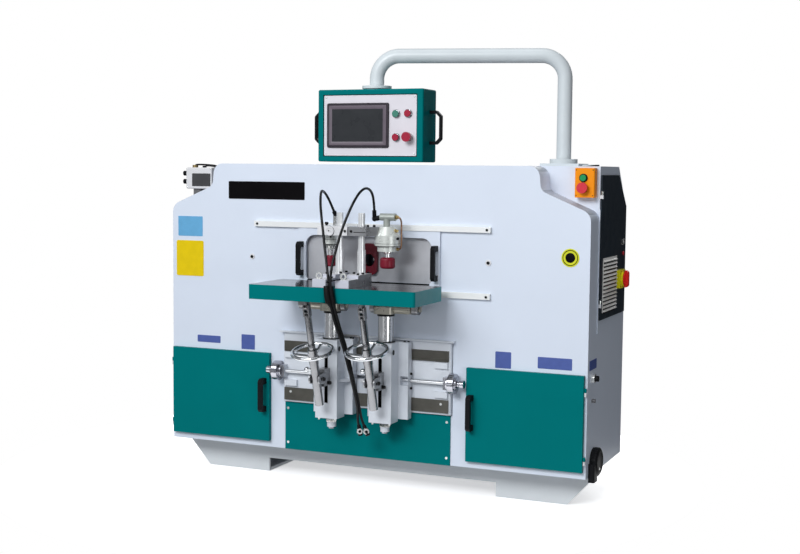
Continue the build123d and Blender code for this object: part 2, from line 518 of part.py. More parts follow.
R_ARM = [(3, -166), (70, -166), (98, -130), (98, -72), (92, -72), (66, -114), (3, -114)]
L_ARM = [(4, -162), (120, -162), (120, -70), (84, -70), (76, -112), (4, -112)]
right = unit(121.0, RIGHT_HOSE[0], direction(RIGHT_HOSE), -1, 24.0, 45.0, 15.5, 40.0, True, 36.0, 46.0, 25.0, 12.0, 27.0, R_ARM)
left = unit(102.0, mirrored(LEFT_HOSE[0]), mirrored(direction(LEFT_HOSE)), 1, 32.0, 35.0, 0.0, 52.0, False, 24.0,
            29.0, 17.0, 9.0, 19.0, L_ARM)
for n, s in right.items():
    put("right_" + n, s)
for n, s in left.items():
    put("left_" + n, flip(s))
put("right_hose", hose(RIGHT_HOSE))
put("left_hose", hose(LEFT_HOSE))
put("right_hose_connector", connector(RIGHT_HOSE))
put("left_hose_connector", connector(LEFT_HOSE))

for name, shape in NODES.items():
    export_step(shape, "parts/" + name + ".step")
print(len(NODES), "nodes")
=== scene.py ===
import bpy
import math
from mathutils import Matrix, Vector


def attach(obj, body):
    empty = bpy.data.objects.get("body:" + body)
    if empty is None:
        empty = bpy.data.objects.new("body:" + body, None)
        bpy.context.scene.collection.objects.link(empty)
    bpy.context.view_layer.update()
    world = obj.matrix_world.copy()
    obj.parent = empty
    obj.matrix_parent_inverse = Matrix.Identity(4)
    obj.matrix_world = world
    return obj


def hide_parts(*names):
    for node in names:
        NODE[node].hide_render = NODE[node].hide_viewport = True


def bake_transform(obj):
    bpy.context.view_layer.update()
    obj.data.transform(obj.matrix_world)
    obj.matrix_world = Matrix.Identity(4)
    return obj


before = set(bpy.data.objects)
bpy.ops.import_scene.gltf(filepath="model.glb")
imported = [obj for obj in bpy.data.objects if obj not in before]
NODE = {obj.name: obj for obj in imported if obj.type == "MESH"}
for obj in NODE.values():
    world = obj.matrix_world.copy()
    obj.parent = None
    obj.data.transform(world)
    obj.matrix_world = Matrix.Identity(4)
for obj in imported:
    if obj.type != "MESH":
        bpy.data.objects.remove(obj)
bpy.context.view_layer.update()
SETBACK = 302.0                      # mm from the mask's front plane back to the row's origin
X, Y, Z = Vector((1, 0, 0)), Vector((0, 1, 0)), Vector((0, 0, 1))


def V(x, y, z):
    """A point given in mm, with Y from the front plane of the mask, in the row frame in metres."""
    return Vector((x * 0.001, (y - SETBACK) * 0.001, z * 0.001))


# ---------------------------------------------------------------- camera
turn = (Matrix.Rotation(math.radians(23.25), 3, "Z") @ Matrix.Rotation(math.radians(-4.73), 3, "X")
        @ Matrix.Rotation(math.radians(-0.56), 3, "Y"))
cam_data = bpy.data.cameras.new("camera")
cam_data.sensor_fit = "HORIZONTAL"
cam_data.sensor_width = 36.0
cam_data.lens = 58.28
cam_data.clip_start, cam_data.clip_end = 0.05, 200.0
cam = bpy.data.objects.new("camera", cam_data)
bpy.context.scene.collection.objects.link(cam)
pose = Matrix((turn.col[0], turn.col[2], -turn.col[1])).transposed().to_4x4()
pose.translation = Vector((1.95257, -4.54515, 1.17147))
cam.matrix_world = pose
bpy.context.scene.camera = cam


# ---------------------------------------------------------------- materials
def surface(name, color, rough, metal=0.0, tone=0.05, tone_size=0.3, gloss=0.06, gloss_size=0.04, grain=0.0,
            grain_size=0.0015, along=None, edge=0.0, edge_wear_and_highlight=None, coat=0.0, spec=0.5):
    """A finish whose tone drifts, whose gloss is uneven and whose grain is real size; the edge colour given is mixed
    into its edges, partly as edge wear and partly as a painted edge highlight.
    """
    m = bpy.data.materials.new(name)
    m.use_nodes = True
    nd, lk = m.node_tree.nodes, m.node_tree.links
    b = nd["Principled BSDF"]
    b.inputs["Metallic"].default_value = metal
    b.inputs["Specular IOR Level"].default_value = spec
    if coat:
        b.inputs["Coat Weight"].default_value = coat
        b.inputs["Coat Roughness"].default_value = 0.08
    tc = nd.new("ShaderNodeTexCoord")

    def noise(size, detail, stretch=None):
        n = nd.new("ShaderNodeTexNoise")
        n.inputs["Scale"].default_value = 1.0
        n.inputs["Detail"].default_value = detail
        n.inputs["Roughness"].default_value = 0.55
        mp = nd.new("ShaderNodeMapping")
        s = [1.0 / size] * 3
        if stretch is not None:
            s[stretch] = s[stretch] / 60.0
        mp.inputs["Scale"].default_value = s
        lk.new(tc.outputs["Object"], mp.inputs["Vector"])
        lk.new(mp.outputs["Vector"], n.inputs["Vector"])
        return n

    ramp = nd.new("ShaderNodeValToRGB")
    ramp.color_ramp.elements[0].position = 0.3
    ramp.color_ramp.elements[1].position = 0.7
    ramp.color_ramp.elements[0].color = [c * (1 - tone) for c in color] + [1]
    ramp.color_ramp.elements[1].color = [min(1.0, c * (1 + tone)) for c in color] + [1]
    lk.new(noise(tone_size, 5).outputs["Fac"], ramp.inputs["Fac"])
    col = ramp.outputs["Color"]

    rr = nd.new("ShaderNodeMapRange")
    rr.inputs["From Min"].default_value, rr.inputs["From Max"].default_value = 0.3, 0.7
    rr.inputs["To Min"].default_value = max(0.02, rough - gloss)
    rr.inputs["To Max"].default_value = min(1.0, rough + gloss)
    lk.new(noise(gloss_size, 3, along).outputs["Fac"], rr.inputs["Value"])
    lk.new(rr.outputs["Result"], b.inputs["Roughness"])

    normal = None
    if edge:
        bv = nd.new("ShaderNodeBevel")
        bv.samples = 4
        bv.inputs["Radius"].default_value = edge
        normal = bv.outputs["Normal"]
        # edge colour mixed in along the bevel through noise: partly edge wear, partly a painted edge highlight
        if edge_wear_and_highlight is not None:
            ge = nd.new("ShaderNodeNewGeometry")
            dt = nd.new("ShaderNodeVectorMath")
            dt.operation = "DOT_PRODUCT"
            lk.new(bv.outputs["Normal"], dt.inputs[0])
            lk.new(ge.outputs["Normal"], dt.inputs[1])
            er = nd.new("ShaderNodeMapRange")
            er.inputs["From Min"].default_value, er.inputs["From Max"].default_value = 0.97, 0.80
            er.inputs["To Min"].default_value, er.inputs["To Max"].default_value = 0.0, 0.55
            lk.new(dt.outputs["Value"], er.inputs["Value"])
            mul = nd.new("ShaderNodeMath")
            mul.operation = "MULTIPLY"
            lk.new(er.outputs["Result"], mul.inputs[0])
            lk.new(noise(0.012, 4).outputs["Fac"], mul.inputs[1])
            mx = nd.new("ShaderNodeMix")
            mx.data_type = "RGBA"
            mx.inputs["B"].default_value = list(edge_wear_and_highlight) + [1]
            lk.new(mul.outputs["Value"], mx.inputs["Factor"])
            lk.new(col, mx.inputs["A"])
            col = mx.outputs["Result"]
    lk.new(col, b.inputs["Base Color"])
    if grain:
        bp = nd.new("ShaderNodeBump")
        bp.inputs["Strength"].default_value = grain
        bp.inputs["Distance"].default_value = grain_size * 0.4
        lk.new(noise(grain_size, 2, along).outputs["Fac"], bp.inputs["Height"])
        if normal is not None:
            lk.new(normal, bp.inputs["Normal"])
        normal = bp.outputs["Normal"]
    if normal is not None:
        lk.new(normal, b.inputs["Normal"])
    return m


def threaded(name, color, rough, pitch, axis):
    """Turned steel with a thread of that pitch along one axis."""
    m = surface(name, color, rough, metal=1.0, tone=0.06, tone_size=0.05)
    nd, lk = m.node_tree.nodes, m.node_tree.links
    tc = nd.new("ShaderNodeTexCoord")
    w = nd.new("ShaderNodeTexWave")
    w.bands_direction = axis
    w.inputs["Scale"].default_value = 1.0 / (pitch * 20.0) * 2 * math.pi * 1.0
    w.inputs["Distortion"].default_value = 0.0
    lk.new(tc.outputs["Object"], w.inputs["Vector"])
    bp = nd.new("ShaderNodeBump")
    bp.inputs["Strength"].default_value = 0.10
    bp.inputs["Distance"].default_value = 0.0012
    lk.new(w.outputs["Fac"], bp.inputs["Height"])
    lk.new(bp.outputs["Normal"], nd["Principled BSDF"].inputs["Normal"])
    return m


M = {}
M["white"] = surface("white_powder_coat", (0.715, 0.775, 0.885), 0.40, tone=0.02, gloss=0.05, grain=0.10, grain_size=0.0016,
                     edge=0.0016, edge_wear_and_highlight=(0.85, 0.87, 0.9))
# darker white for the mask's upward faces: painted shade, standing in for tops that take less of the front light
M["painted_shade_top_white"] = surface("white_coat_with_painted_shade", (0.46, 0.50, 0.575), 0.42, tone=0.02, gloss=0.05, grain=0.10, grain_size=0.0016,
                          edge=0.0016, edge_wear_and_highlight=(0.6, 0.63, 0.68))
M["casting"] = surface("white_casting_paint", (0.71, 0.745, 0.805), 0.42, tone=0.035, tone_size=0.12, gloss=0.07, grain=0.22,
                       grain_size=0.0035, edge=0.0016, edge_wear_and_highlight=(0.8, 0.81, 0.83))
M["plinth"] = surface("plinth_grey_paint", (0.74, 0.775, 0.80), 0.45, tone=0.05, grain=0.15, grain_size=0.002, edge=0.002,
                      edge_wear_and_highlight=(0.66, 0.68, 0.7))
M["teal"] = surface("teal_powder_coat", (0.0, 0.174, 0.180), 0.42, spec=0.02, tone=0.045, gloss=0.05, grain=0.10, grain_size=0.0015,
                    edge=0.0014, edge_wear_and_highlight=(0.04, 0.32, 0.31))
# lighter teal for the tables' outer end faces: a painted sheen, the ends made lighter as if lit
M["teal_painted_sheen_end"] = surface("teal_with_painted_sheen", (0.045, 0.235, 0.25), 0.36, spec=0.15, tone=0.06, gloss=0.06, grain=0.08, grain_size=0.0015,
                        edge=0.0014, edge_wear_and_highlight=(0.06, 0.34, 0.33))
M["navy"] = surface("navy_powder_coat", (0.009, 0.018, 0.029), 0.38, spec=0.3, tone=0.10, grain=0.12, grain_size=0.0016, edge=0.0015,
                    edge_wear_and_highlight=(0.05, 0.06, 0.07))
M["pipe"] = surface("pipe_grey_paint", (0.65, 0.70, 0.725), 0.34, tone=0.03, tone_size=0.15, grain=0.08, grain_size=0.002)
M["boxgrey"] = surface("box_white_plastic", (0.735, 0.73, 0.745), 0.42, tone=0.03, grain=0.12, grain_size=0.0012, edge=0.001)
M["rail"] = surface("rail_anodised", (0.88, 0.89, 0.89), 0.30, metal=0.10, tone=0.03, grain=0.10, grain_size=0.0008, along=0,
                    edge=0.001)
M["strip"] = surface("oiled_way_strip", (0.082, 0.078, 0.066), 0.34, metal=0.35, tone=0.18, tone_size=0.05, gloss=0.10,
                     grain=0.15, grain_size=0.0007, along=0, edge=0.0008)
M["steel"] = surface("brushed_steel", (0.52, 0.53, 0.54), 0.28, metal=1.0, tone=0.06, tone_size=0.04, gloss=0.08, grain=0.10,
                     grain_size=0.0006, along=0, edge=0.0008)
M["strut"] = surface("turned_steel_dark", (0.27, 0.27, 0.28), 0.20, metal=1.0, tone=0.06, tone_size=0.03, gloss=0.06,
                     grain=0.06, grain_size=0.0005)
M["post"] = surface("post_steel", (0.82, 0.83, 0.84), 0.26, metal=0.45, tone=0.04, tone_size=0.03, gloss=0.06, grain=0.05,
                    grain_size=0.0005, along=2)
M["bracket"] = surface("bracket_chrome", (0.44, 0.44, 0.48), 0.20, metal=1.0, tone=0.10, tone_size=0.02, gloss=0.08, edge=0.001)
M["steel_z"] = surface("ground_steel_upright", (0.60, 0.61, 0.62), 0.20, metal=1.0, tone=0.05, tone_size=0.03, gloss=0.06,
                       grain=0.06, grain_size=0.0005, along=2)
M["chrome"] = surface("hard_chrome", (0.68, 0.68, 0.685), 0.26, metal=0.95, tone=0.03, tone_size=0.05, gloss=0.04, grain=0.02,
                      grain_size=0.0006, along=2)
M["wheel"] = surface("polished_wheel", (0.66, 0.67, 0.69), 0.10, metal=1.0, tone=0.03, tone_size=0.04, gloss=0.03)
M["zinc"] = surface("zinc_plate", (0.58, 0.60, 0.58), 0.25, metal=0.9, tone=0.08, tone_size=0.02, gloss=0.10, edge=0.0008)
M["iron"] = surface("machined_iron", (0.24, 0.24, 0.245), 0.38, metal=0.85, tone=0.10, tone_size=0.06, gloss=0.08, grain=0.15,
                    grain_size=0.0008, along=0, edge=0.001)
M["top"] = surface("table_top", (0.048, 0.044, 0.050), 0.16, metal=0.25, tone=0.18, tone_size=0.07, gloss=0.07, gloss_size=0.03,
                   grain=0.05, grain_size=0.0007, along=0, edge=0.001, coat=0.25)
M["shield"] = surface("shield_steel", (0.50, 0.505, 0.535), 0.42, metal=0.35, tone=0.10, tone_size=0.09, gloss=0.09, grain=0.10,
                      grain_size=0.0007, along=2)
M["red"] = surface("red_enamel", (0.125, 0.006, 0.016), 0.32, spec=0.3, tone=0.10, tone_size=0.02, gloss=0.06, edge=0.001)
M["maroon"] = surface("dark_red_urethane", (0.19, 0.007, 0.022), 0.34, spec=0.3, tone=0.14, tone_size=0.02, gloss=0.08, edge=0.0012)
M["cream"] = surface("cylinder_silver", (0.66, 0.685, 0.65), 0.28, metal=0.25, tone=0.05, tone_size=0.05, gloss=0.06, grain=0.05,
                     grain_size=0.002, edge=0.0012, edge_wear_and_highlight=(0.72, 0.72, 0.68))
M["head"] = surface("tilt_head_satin", (0.50, 0.475, 0.40), 0.28, metal=0.45, tone=0.08, tone_size=0.04, gloss=0.08, edge=0.0012)
M["block"] = surface("white_block_enamel", (0.76, 0.76, 0.78), 0.32, tone=0.04, tone_size=0.05, gloss=0.06, grain=0.06,
                     grain_size=0.002, edge=0.0012, edge_wear_and_highlight=(0.6, 0.6, 0.6))
M["base_block"] = surface("base_block_enamel", (0.57, 0.585, 0.66), 0.34, tone=0.04, tone_size=0.05, gloss=0.06, grain=0.06,
                          grain_size=0.002, edge=0.0012)
M["valve"] = surface("valve_cast_alloy", (0.36, 0.385, 0.36), 0.42, metal=0.4, tone=0.10, tone_size=0.012, gloss=0.08, edge=0.001)
M["arm"] = surface("clamp_arm_steel", (0.36, 0.365, 0.38), 0.30, metal=0.8, tone=0.08, tone_size=0.03, gloss=0.08, edge=0.0012)
M["black"] = surface("black_moulding", (0.0065, 0.0070, 0.0085), 0.46, spec=0.09, tone=0.15, tone_size=0.03, gloss=0.07, grain=0.12,
                     grain_size=0.0007, edge=0.001)
M["dark"] = surface("black_oxide", (0.011, 0.011, 0.012), 0.42, metal=0.3, spec=0.2, tone=0.15, tone_size=0.01, gloss=0.08)
M["orange"] = surface("orange_moulding", (0.93, 0.295, 0.004), 0.36, spec=0.15, tone=0.04, tone_size=0.05, grain=0.10, grain_size=0.0009,
                      edge=0.0012, edge_wear_and_highlight=(0.95, 0.45, 0.12))
M["yellow"] = surface("yellow_moulding", (0.96, 0.88, 0.012), 0.36, spec=0.2, tone=0.05, tone_size=0.03, grain=0.08, grain_size=0.0009,
                      edge=0.001)
M["red_cap"] = surface("red_button", (0.37, 0.016, 0.045), 0.24, spec=0.3, tone=0.06, tone_size=0.01, gloss=0.05, edge=0.0012, coat=0.3)
M["red_lit"] = surface("red_station_button", (0.66, 0.036, 0.058), 0.28, spec=0.3, tone=0.05, tone_size=0.01, gloss=0.05, edge=0.0012)
M["switch_red"] = surface("red_switch_knob", (0.97, 0.028, 0.022), 0.34, tone=0.05, tone_size=0.01, gloss=0.05, edge=0.0012, spec=0.2)
M["green_lit"] = surface("green_station_button", (0.010, 0.30, 0.095), 0.26, tone=0.06, tone_size=0.01, gloss=0.05, edge=0.0012, spec=0.3)
M["green_cap"] = surface("green_button", (0.05, 0.225, 0.165), 0.24, tone=0.06, tone_size=0.01, gloss=0.05, edge=0.0012, coat=0.3)
M["bezel"] = surface("screen_bezel", (0.026, 0.019, 0.028), 0.36, spec=0.32, tone=0.06, tone_size=0.03, grain=0.10, grain_size=0.0006,
                     edge=0.001)
M["frame2"] = surface("screen_inner_frame", (0.125, 0.098, 0.125), 0.40, tone=0.05, tone_size=0.03, grain=0.10, grain_size=0.0006)
M["display"] = surface("display_film", (0.032, 0.034, 0.038), 0.30, tone=0.05, tone_size=0.04, gloss=0.05, grain=0.04,
                       grain_size=0.0005, spec=0.15)
M["trim"] = surface("bright_trim", (0.86, 0.85, 0.90), 0.30, metal=0.2, tone=0.03, tone_size=0.03, gloss=0.06)
M["face"] = surface("face_plate_film", (0.735, 0.705, 0.755), 0.36, spec=0.3, tone=0.03, tone_size=0.06, grain=0.06, grain_size=0.0006,
                    edge=0.0006)
M["beige"] = surface("grille_beige", (0.95, 0.92, 0.88), 0.42, tone=0.06, tone_size=0.03, grain=0.10, grain_size=0.0008,
                     edge=0.0006)
M["panel_grey"] = surface("panel_dark_grey", (0.060, 0.060, 0.062), 0.36, spec=0.2, tone=0.08, tone_size=0.03, gloss=0.05)
M["p_black"] = surface("plate_black", (0.0035, 0.0028, 0.0035), 0.34, spec=0.06, tone=0.10, tone_size=0.03, gloss=0.05)
M["p_blue"] = surface("plate_light_blue", (0.135, 0.40, 0.665), 0.34, spec=0.3, tone=0.05, tone_size=0.03, gloss=0.06)
M["p_yellow"] = surface("plate_yellow", (0.80, 0.58, 0.006), 0.36, spec=0.12, tone=0.05, tone_size=0.03, gloss=0.06)
M["p_lime"] = surface("plate_lime", (0.66, 0.68, 0.03), 0.36, spec=0.12, tone=0.05, tone_size=0.03, gloss=0.06)
M["p_purple"] = surface("plate_violet", (0.080, 0.120, 0.365), 0.34, spec=0.25, tone=0.06, tone_size=0.02, gloss=0.06)
M["rubber"] = surface("hose_rubber", (0.0050, 0.0052, 0.0062), 0.36, spec=0.22, tone=0.12, tone_size=0.02, gloss=0.08, grain=0.08,
                      grain_size=0.0012)
M["wrap"] = surface("spiral_wrap", (0.0050, 0.0052, 0.0055), 0.50, spec=0.12, tone=0.15, tone_size=0.02, gloss=0.08)
M["copper"] = surface("copper_tube", (0.30, 0.165, 0.10), 0.30, metal=0.9, tone=0.12, tone_size=0.015, gloss=0.08)
M["brass"] = surface("brass_fitting", (0.62, 0.46, 0.20), 0.24, metal=1.0, tone=0.08, tone_size=0.01, gloss=0.06, edge=0.0006)
M["nickel"] = surface("nickel_fitting", (0.66, 0.66, 0.64), 0.18, metal=1.0, tone=0.06, tone_size=0.01, gloss=0.06, edge=0.0006)
M["screw"] = surface("screw_nickel", (0.72, 0.73, 0.72), 0.28, metal=0.6, tone=0.08, tone_size=0.004, gloss=0.08)
M["lead"] = threaded("lead_screw_thread", (0.56, 0.57, 0.59), 0.34, 0.005, "X")
M["motor"] = surface("motor_grey", (0.10, 0.12, 0.15), 0.42, tone=0.10, tone_size=0.05, grain=0.10, grain_size=0.002, edge=0.001)


def dress(node, *mats):
    """Gives a CAD node its finish. mats is a default, then (finish, test) pairs; the test sees a face's centre in mm
    with Y from the mask's front plane, and its normal."""
    me = NODE[node].data
    me.materials.clear()
    me.materials.append(M[mats[0]])
    for key, _ in mats[1:]:
        me.materials.append(M[key])
    for p in me.polygons:
        c, n, k = p.center, p.normal, 0
        for i, (_, test) in enumerate(mats[1:]):
            if test(c.x * 1000, c.y * 1000 + SETBACK, c.z * 1000, n):
                k = i + 1
        p.material_index = k


def near(x, y, cx, cy, r):
    return math.hypot(x - cx, y - cy) < r


# the struts: lean, direction, front side and pivot (Y, Z)
LEAN = math.radians(16.0)
AX = Vector((0, -math.sin(LEAN), math.cos(LEAN)))
LF = Vector((0, -math.cos(LEAN), -math.sin(LEAN)))
CLAMP = (-270.0 + (697.0 - 431.0) * math.tan(LEAN), 431.0)
STRUT_L = (697.0 - 431.0) / math.cos(LEAN)


def off_strut(x, y, z, ux):
    """Distance in mm from the axis of a strut."""
    d = Vector((x - ux, y - CLAMP[0], z - CLAMP[1]))
    return (d - AX * d.dot(AX)).length


dress("plinth_frame", "plinth")
dress("main_cabinet", "white", ("pipe", lambda x, y, z, n: z > 1190.5), ("black", lambda x, y, z, n: z > 1190.5 and x > 762))
dress("spindle_housing", "white", ("zinc", lambda x, y, z, n: y > 491.5))
# the upward faces of the mask's shoulders get the darker white: painted shade
dress("front_mask", "white", ("painted_shade_top_white", lambda x, y, z, n: z > 1000 and n.z > 0.55))
dress("center_cover", "teal")
dress("panel_screws", "screw", ("dark", lambda x, y, z, n: z > 700))
dress("guard_rails", "rail")
dress("way_bed", "casting", ("bracket", lambda x, y, z, n: abs(x) > 316.2 and y < -0.5 and 386 < z < 463
                             and not (abs(abs(x) - 335) < 0.3) and not (abs(y + 14) < 0.6 and abs(n.y) > 0.9)
                             and not (abs(x) < 335.3 and y > -12.2)))
dress("way_strips", "strip")
dress("junction_box", "boxgrey", ("black", lambda x, y, z, n: x < -838.2 or z > 1173.2 and x > -795),
      ("brass", lambda x, y, z, n: z > 1173.2 and x < -795), ("iron", lambda x, y, z, n: z < 1089.8))
dress("side_inlets", "black", ("screw", lambda x, y, z, n: z > 440 and x < 837.3), ("iron", lambda x, y, z, n: 378 < z < 396))
dress("station_box", "orange", ("black", lambda x, y, z, n: y < 75.8))
dress("door_hinges", "block")
dress("x_axis_drive", "steel")
for side in ("left", "right"):
    dress(side + "_door", "teal")
    dress(side + "_door_handle", "black")
dress("electrical_door", "navy", ("yellow", lambda x, y, z, n: x > 831.2 and 345 < y < 430 and 745 < z < 825),
      ("zinc", lambda x, y, z, n: y < 117.5))
dress("main_switch_knob", "switch_red")
dress("guard_panel", "white")
dress("guard_handles", "black")
dress("pendant_arm", "pipe")
COLLARS = ((116, 1369, 14.25), (162, 1370, 14.25), (116, 1286, 14.25), (165, 1287, 14.05))
dress("pendant_box", "teal", ("pipe", lambda x, y, z, n: z > 1457.2),
      # the walls of the recess round the face plate are black: painted shade in the recess
      ("dark", lambda x, y, z, n: -17.2 < y < -13.5 and -172 < x < 197 and 1217 < z < 1439),
      ("nickel", lambda x, y, z, n: y < -12.5 and any(near(x, z, a, b, r) for a, b, r in COLLARS)))
dress("touch_screen", "bezel")
dress("pendant_handles", "black")
dress("pendant_green_button", "green_cap")
dress("pendant_red_button", "red_cap")
dress("pendant_reset_button", "red_cap")
dress("pendant_emergency_stop", "red_cap", ("black", lambda x, y, z, n: y > -30.5))
dress("station_start_button", "green_lit")
dress("station_stop_button", "red_lit")
dress("x_carriage", "iron")
dress("shield_cradle", "shield", ("red", lambda x, y, z, n: y < 13.9 and abs(x - 5) < 34))
dress("spindle_motor", "motor")
dress("spindle_chuck", "steel")


def barrel(x, y, z, n):
    """Faces of the right air cylinder: barrel, ring below it and sloping cap."""
    d = math.hypot(x - 121, y + 92)
    return d < 46.3 and (885 < z < 942.2 or z < 972.6 and 0.15 < n.z < 0.9) and z > 885 or d < 30.4 and abs(z - 973) < 0.5


for side, s, cyl, body_r, flange_r in (("left", -1, 102.0, 24.0, 29.0), ("right", 1, 121.0, 36.0, 46.0)):
    ux = s * 106.0
    dress(side + "_knee", "casting",
          ("black", lambda x, y, z, n, ux=ux: abs(x - ux) < 6.7 and -114.9 < y < -98 and 333 < z < 509),
          ("bracket", lambda x, y, z, n, ux=ux: z < 276.8 and near(x, y, ux, -68, 16.3)))
    dress(side + "_lead_screw", "lead", ("bracket", lambda x, y, z, n: abs(x) > 366.5))
    dress(side + "_column", "chrome", ("head", lambda x, y, z, n: z > 663.5))
    # the tables' outer end faces get the lighter teal: painted sheen
    dress(side + "_table", "teal", ("teal_painted_sheen_end", lambda x, y, z, n: n.x * x > 0 and abs(n.x) > 0.9 and abs(x) > 290), ("top", lambda x, y, z, n: z > 768.2),
          ("iron", lambda x, y, z, n: z < 716.5 or 26 < abs(x) < 306 and -300 < y < -70 and z < 760))
    dress(side + "_strut_clamp", "arm")
    dress(side + "_strut_sleeve", "strut", ("wheel", lambda x, y, z, n, ux=ux: x < ux - 15.8 and z > 445))
    dress(side + "_strut_rod", "strut")
    dress(side + "_handwheel", "wheel", ("strut", lambda x, y, z, n, ux=ux: off_strut(x, y, z, ux) < 17.3))
    dress(side + "_clamp_stand", "nickel",
          ("base_block", lambda x, y, z, n: z < 808.2),
          ("arm", lambda x, y, z, n, s=s: s > 0 and z < 808.2 and n.x > 0.9 and abs(x - 69) < 0.5),
          ("block", lambda x, y, z, n: z < 808.2 and n.z > 0.9),
          ("screw", lambda x, y, z, n: y < -265 and z > 796.2),
          ("post", lambda x, y, z, n, s=s: z > 806.2 and near(x, y, s * 42, -140, 15.2) and not 939.8 < z < 972.2),
          ("block" if s < 0 else "arm", lambda x, y, z, n, s=s, c=cyl, b=body_r: 939 < z < 973 and not near(x, y, s * 42, -140, 12.4)
           and not (barrel(x, y, z, n) if s > 0 else near(x, y, s * c, -92, b + 2.2))),
          ("cream", lambda x, y, z, n, s=s, c=cyl, b=body_r, f=flange_r: barrel(x, y, z, n) if s > 0 else (
              887 < z < 928.5 and near(x, y, s * c, -92, f + 0.2)) or (
              925 < z < 973 and near(x, y, s * c, -92, b + 1.9) and not near(x, y, s * 42, -140, 12.4))),
          ("valve", lambda x, y, z, n, s=s: s > 0 and z > 973.6 and x > 92.2),
          ("black", lambda x, y, z, n, s=s: z > (984 if s > 0 else 1003) and 58 < abs(x) < 92 and -125 < y < -93.5))
    dress(side + "_clamp_foot", "chrome", ("maroon", lambda x, y, z, n: z < 865.2))
    dress(side + "_hose_connector", "nickel")


# ---------------------------------------------------------------- mesh building
def link(ob):
    bpy.context.scene.collection.objects.link(ob)
    return ob


def rrect(w, h, r, n=6):
    """Rounded rectangle about 0, 0 as points in mm."""
    pts = []
    r = max(r, 0.01)
    for cx, cy, a0 in ((w / 2 - r, h / 2 - r, 0), (-w / 2 + r, h / 2 - r, 90), (-w / 2 + r, -h / 2 + r, 180), (w / 2 - r, -h / 2 + r, 270)):
        for k in range(n + 1):
            a = math.radians(a0 + 90.0 * k / n)
            pts.append((cx + r * math.cos(a), cy + r * math.sin(a)))
    return pts


class Piece:
    """Collects the solids of one piece into one mesh."""

    def __init__(self):
        self.v, self.f = [], []

    def add(self, vs, fs):
        n = len(self.v)
        self.v += [tuple(p) for p in vs]
        self.f += [[i + n for i in q] for q in fs]

    def lathe(self, prof, at, axis, seg=32, spin=0.0):
        """Turned solid: prof is (radius, height) in mm along axis, from at."""
        a = Vector(axis).normalized()
        u = a.orthogonal().normalized()
        w = a.cross(u)
        vs, fs, rings = [], [], []
        for r, h in prof:
            if r <= 1e-6:
                rings.append([len(vs)])
                vs.append(at + a * (h * 0.001))
            else:
                ring = []
                for k in range(seg):
                    t = spin + 2 * math.pi * k / seg
                    ring.append(len(vs))
                    vs.append(at + a * (h * 0.001) + (u * math.cos(t) + w * math.sin(t)) * (r * 0.001))
                rings.append(ring)
        for p, q in zip(rings, rings[1:]):
            for k in range(seg):
                j = (k + 1) % seg
                if len(p) == 1 and len(q) == 1:
                    continue
                if len(p) == 1:
                    fs.append([p[0], q[j], q[k]])
                elif len(q) == 1:
                    fs.append([p[k], p[j], q[0]])
                else:
                    fs.append([p[k], p[j], q[j], q[k]])
        self.add(vs, fs)

    def loft(self, layers, o, ux, uy):
        """Closed solid through layers of (outline in mm, height in mm) on the plane of ux, uy."""
        n = ux.cross(uy)
        k = len(layers[0][0])
        vs = [o + (ux * x + uy * y + n * h) * 0.001 for pts, h in layers for x, y in pts]
        fs = []
        for a in range(len(layers) - 1):
            for i in range(k):
                j = (i + 1) % k
                fs.append([a * k + i, a * k + j, (a + 1) * k + j, (a + 1) * k + i])
        fs.append(list(range(k))[::-1])
        fs.append([(len(layers) - 1) * k + i for i in range(k)])
        self.add(vs, fs)

    def plate(self, w, h, t, r, o, ux, uy, c=0.4):
        self.loft([(rrect(w, h, r), 0), (rrect(w, h, r), t - c), (rrect(w - 2 * c, h - 2 * c, r - c), t)], o, ux, uy)

    def ring(self, r0, r1, h, at, axis, seg=40, c=0.4):
        self.lathe([(r0, 0), (r1, 0), (r1, h - c), (r1 - c, h), (r0 + c, h), (r0, h - c), (r0, 0)], at, axis, seg)

    def screw(self, at, axis, r, h, socket=True):
        if socket:
            self.lathe([(0, 0), (r, 0), (r, h * 0.75), (r * 0.88, h), (r * 0.5, h), (r * 0.46, h * 0.45), (0, h * 0.45)], at, axis, 20)
        else:
            self.lathe([(0, 0), (r, 0), (r * 0.97, h * 0.35), (r * 0.75, h * 0.8), (r * 0.35, h), (0, h)], at, axis, 20)

    def make(self, name, mat, body, slot=None, smooth=38.0):
        me = bpy.data.meshes.new(name)
        me.from_pydata(self.v, [], self.f)
        me.update()
        me.polygons.foreach_set("use_smooth", [True] * len(me.polygons))
        me.set_sharp_from_angle(angle=math.radians(smooth))
        me.materials.append(M[mat])
        ob = link(bpy.data.objects.new(name, me))
        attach(ob, body)
        return ob


FRONT = (X, Z)          # outward is -Y
BACK = (-X, Z)          # outward is +Y
SIDE = (Y, Z)           # outward is +X
REAR = (-X, Z)          # outward is +Y


# ---------------------------------------------------------------- air hoses
LEFT_HOSE = [(-83, -105, 1022), (-93, -116, 1056), (-98, -142, 1086), (-93, -180, 1098), (-81, -215, 1086),
             (-69, -240, 1052), (-56, -258, 1008), (-42, -272, 958), (-29, -285, 902), (-15, -299, 850),
             (0, -314, 798), (4, -325, 750), (15, -322, 708), (14, -293, 652), (15, -256, 600), (14, -215, 545),
             (16, -182, 474), (21, -158, 410), (26, -140, 355), (28, -130, 312), (26.5, -128, 285), (31, -127, 262)]
RIGHT_HOSE = [(74, -105, 1028), (77, -115, 1062), (81, -142, 1095), (80, -182, 1110), (72, -216, 1098),
              (60, -241, 1064), (48, -259, 1024), (37, -273, 984), (26, -286, 938), (18, -297, 892),
              (10.5, -310, 845), (10, -321, 797), (16, -325, 750), (26, -321, 708), (21, -283, 652), (19, -244, 600),
              (16.5, -202, 545), (18.5, -169, 474), (23, -146, 410), (28, -128, 355), (33, -122, 312),
              (41, -124, 284), (53, -127, 262)]


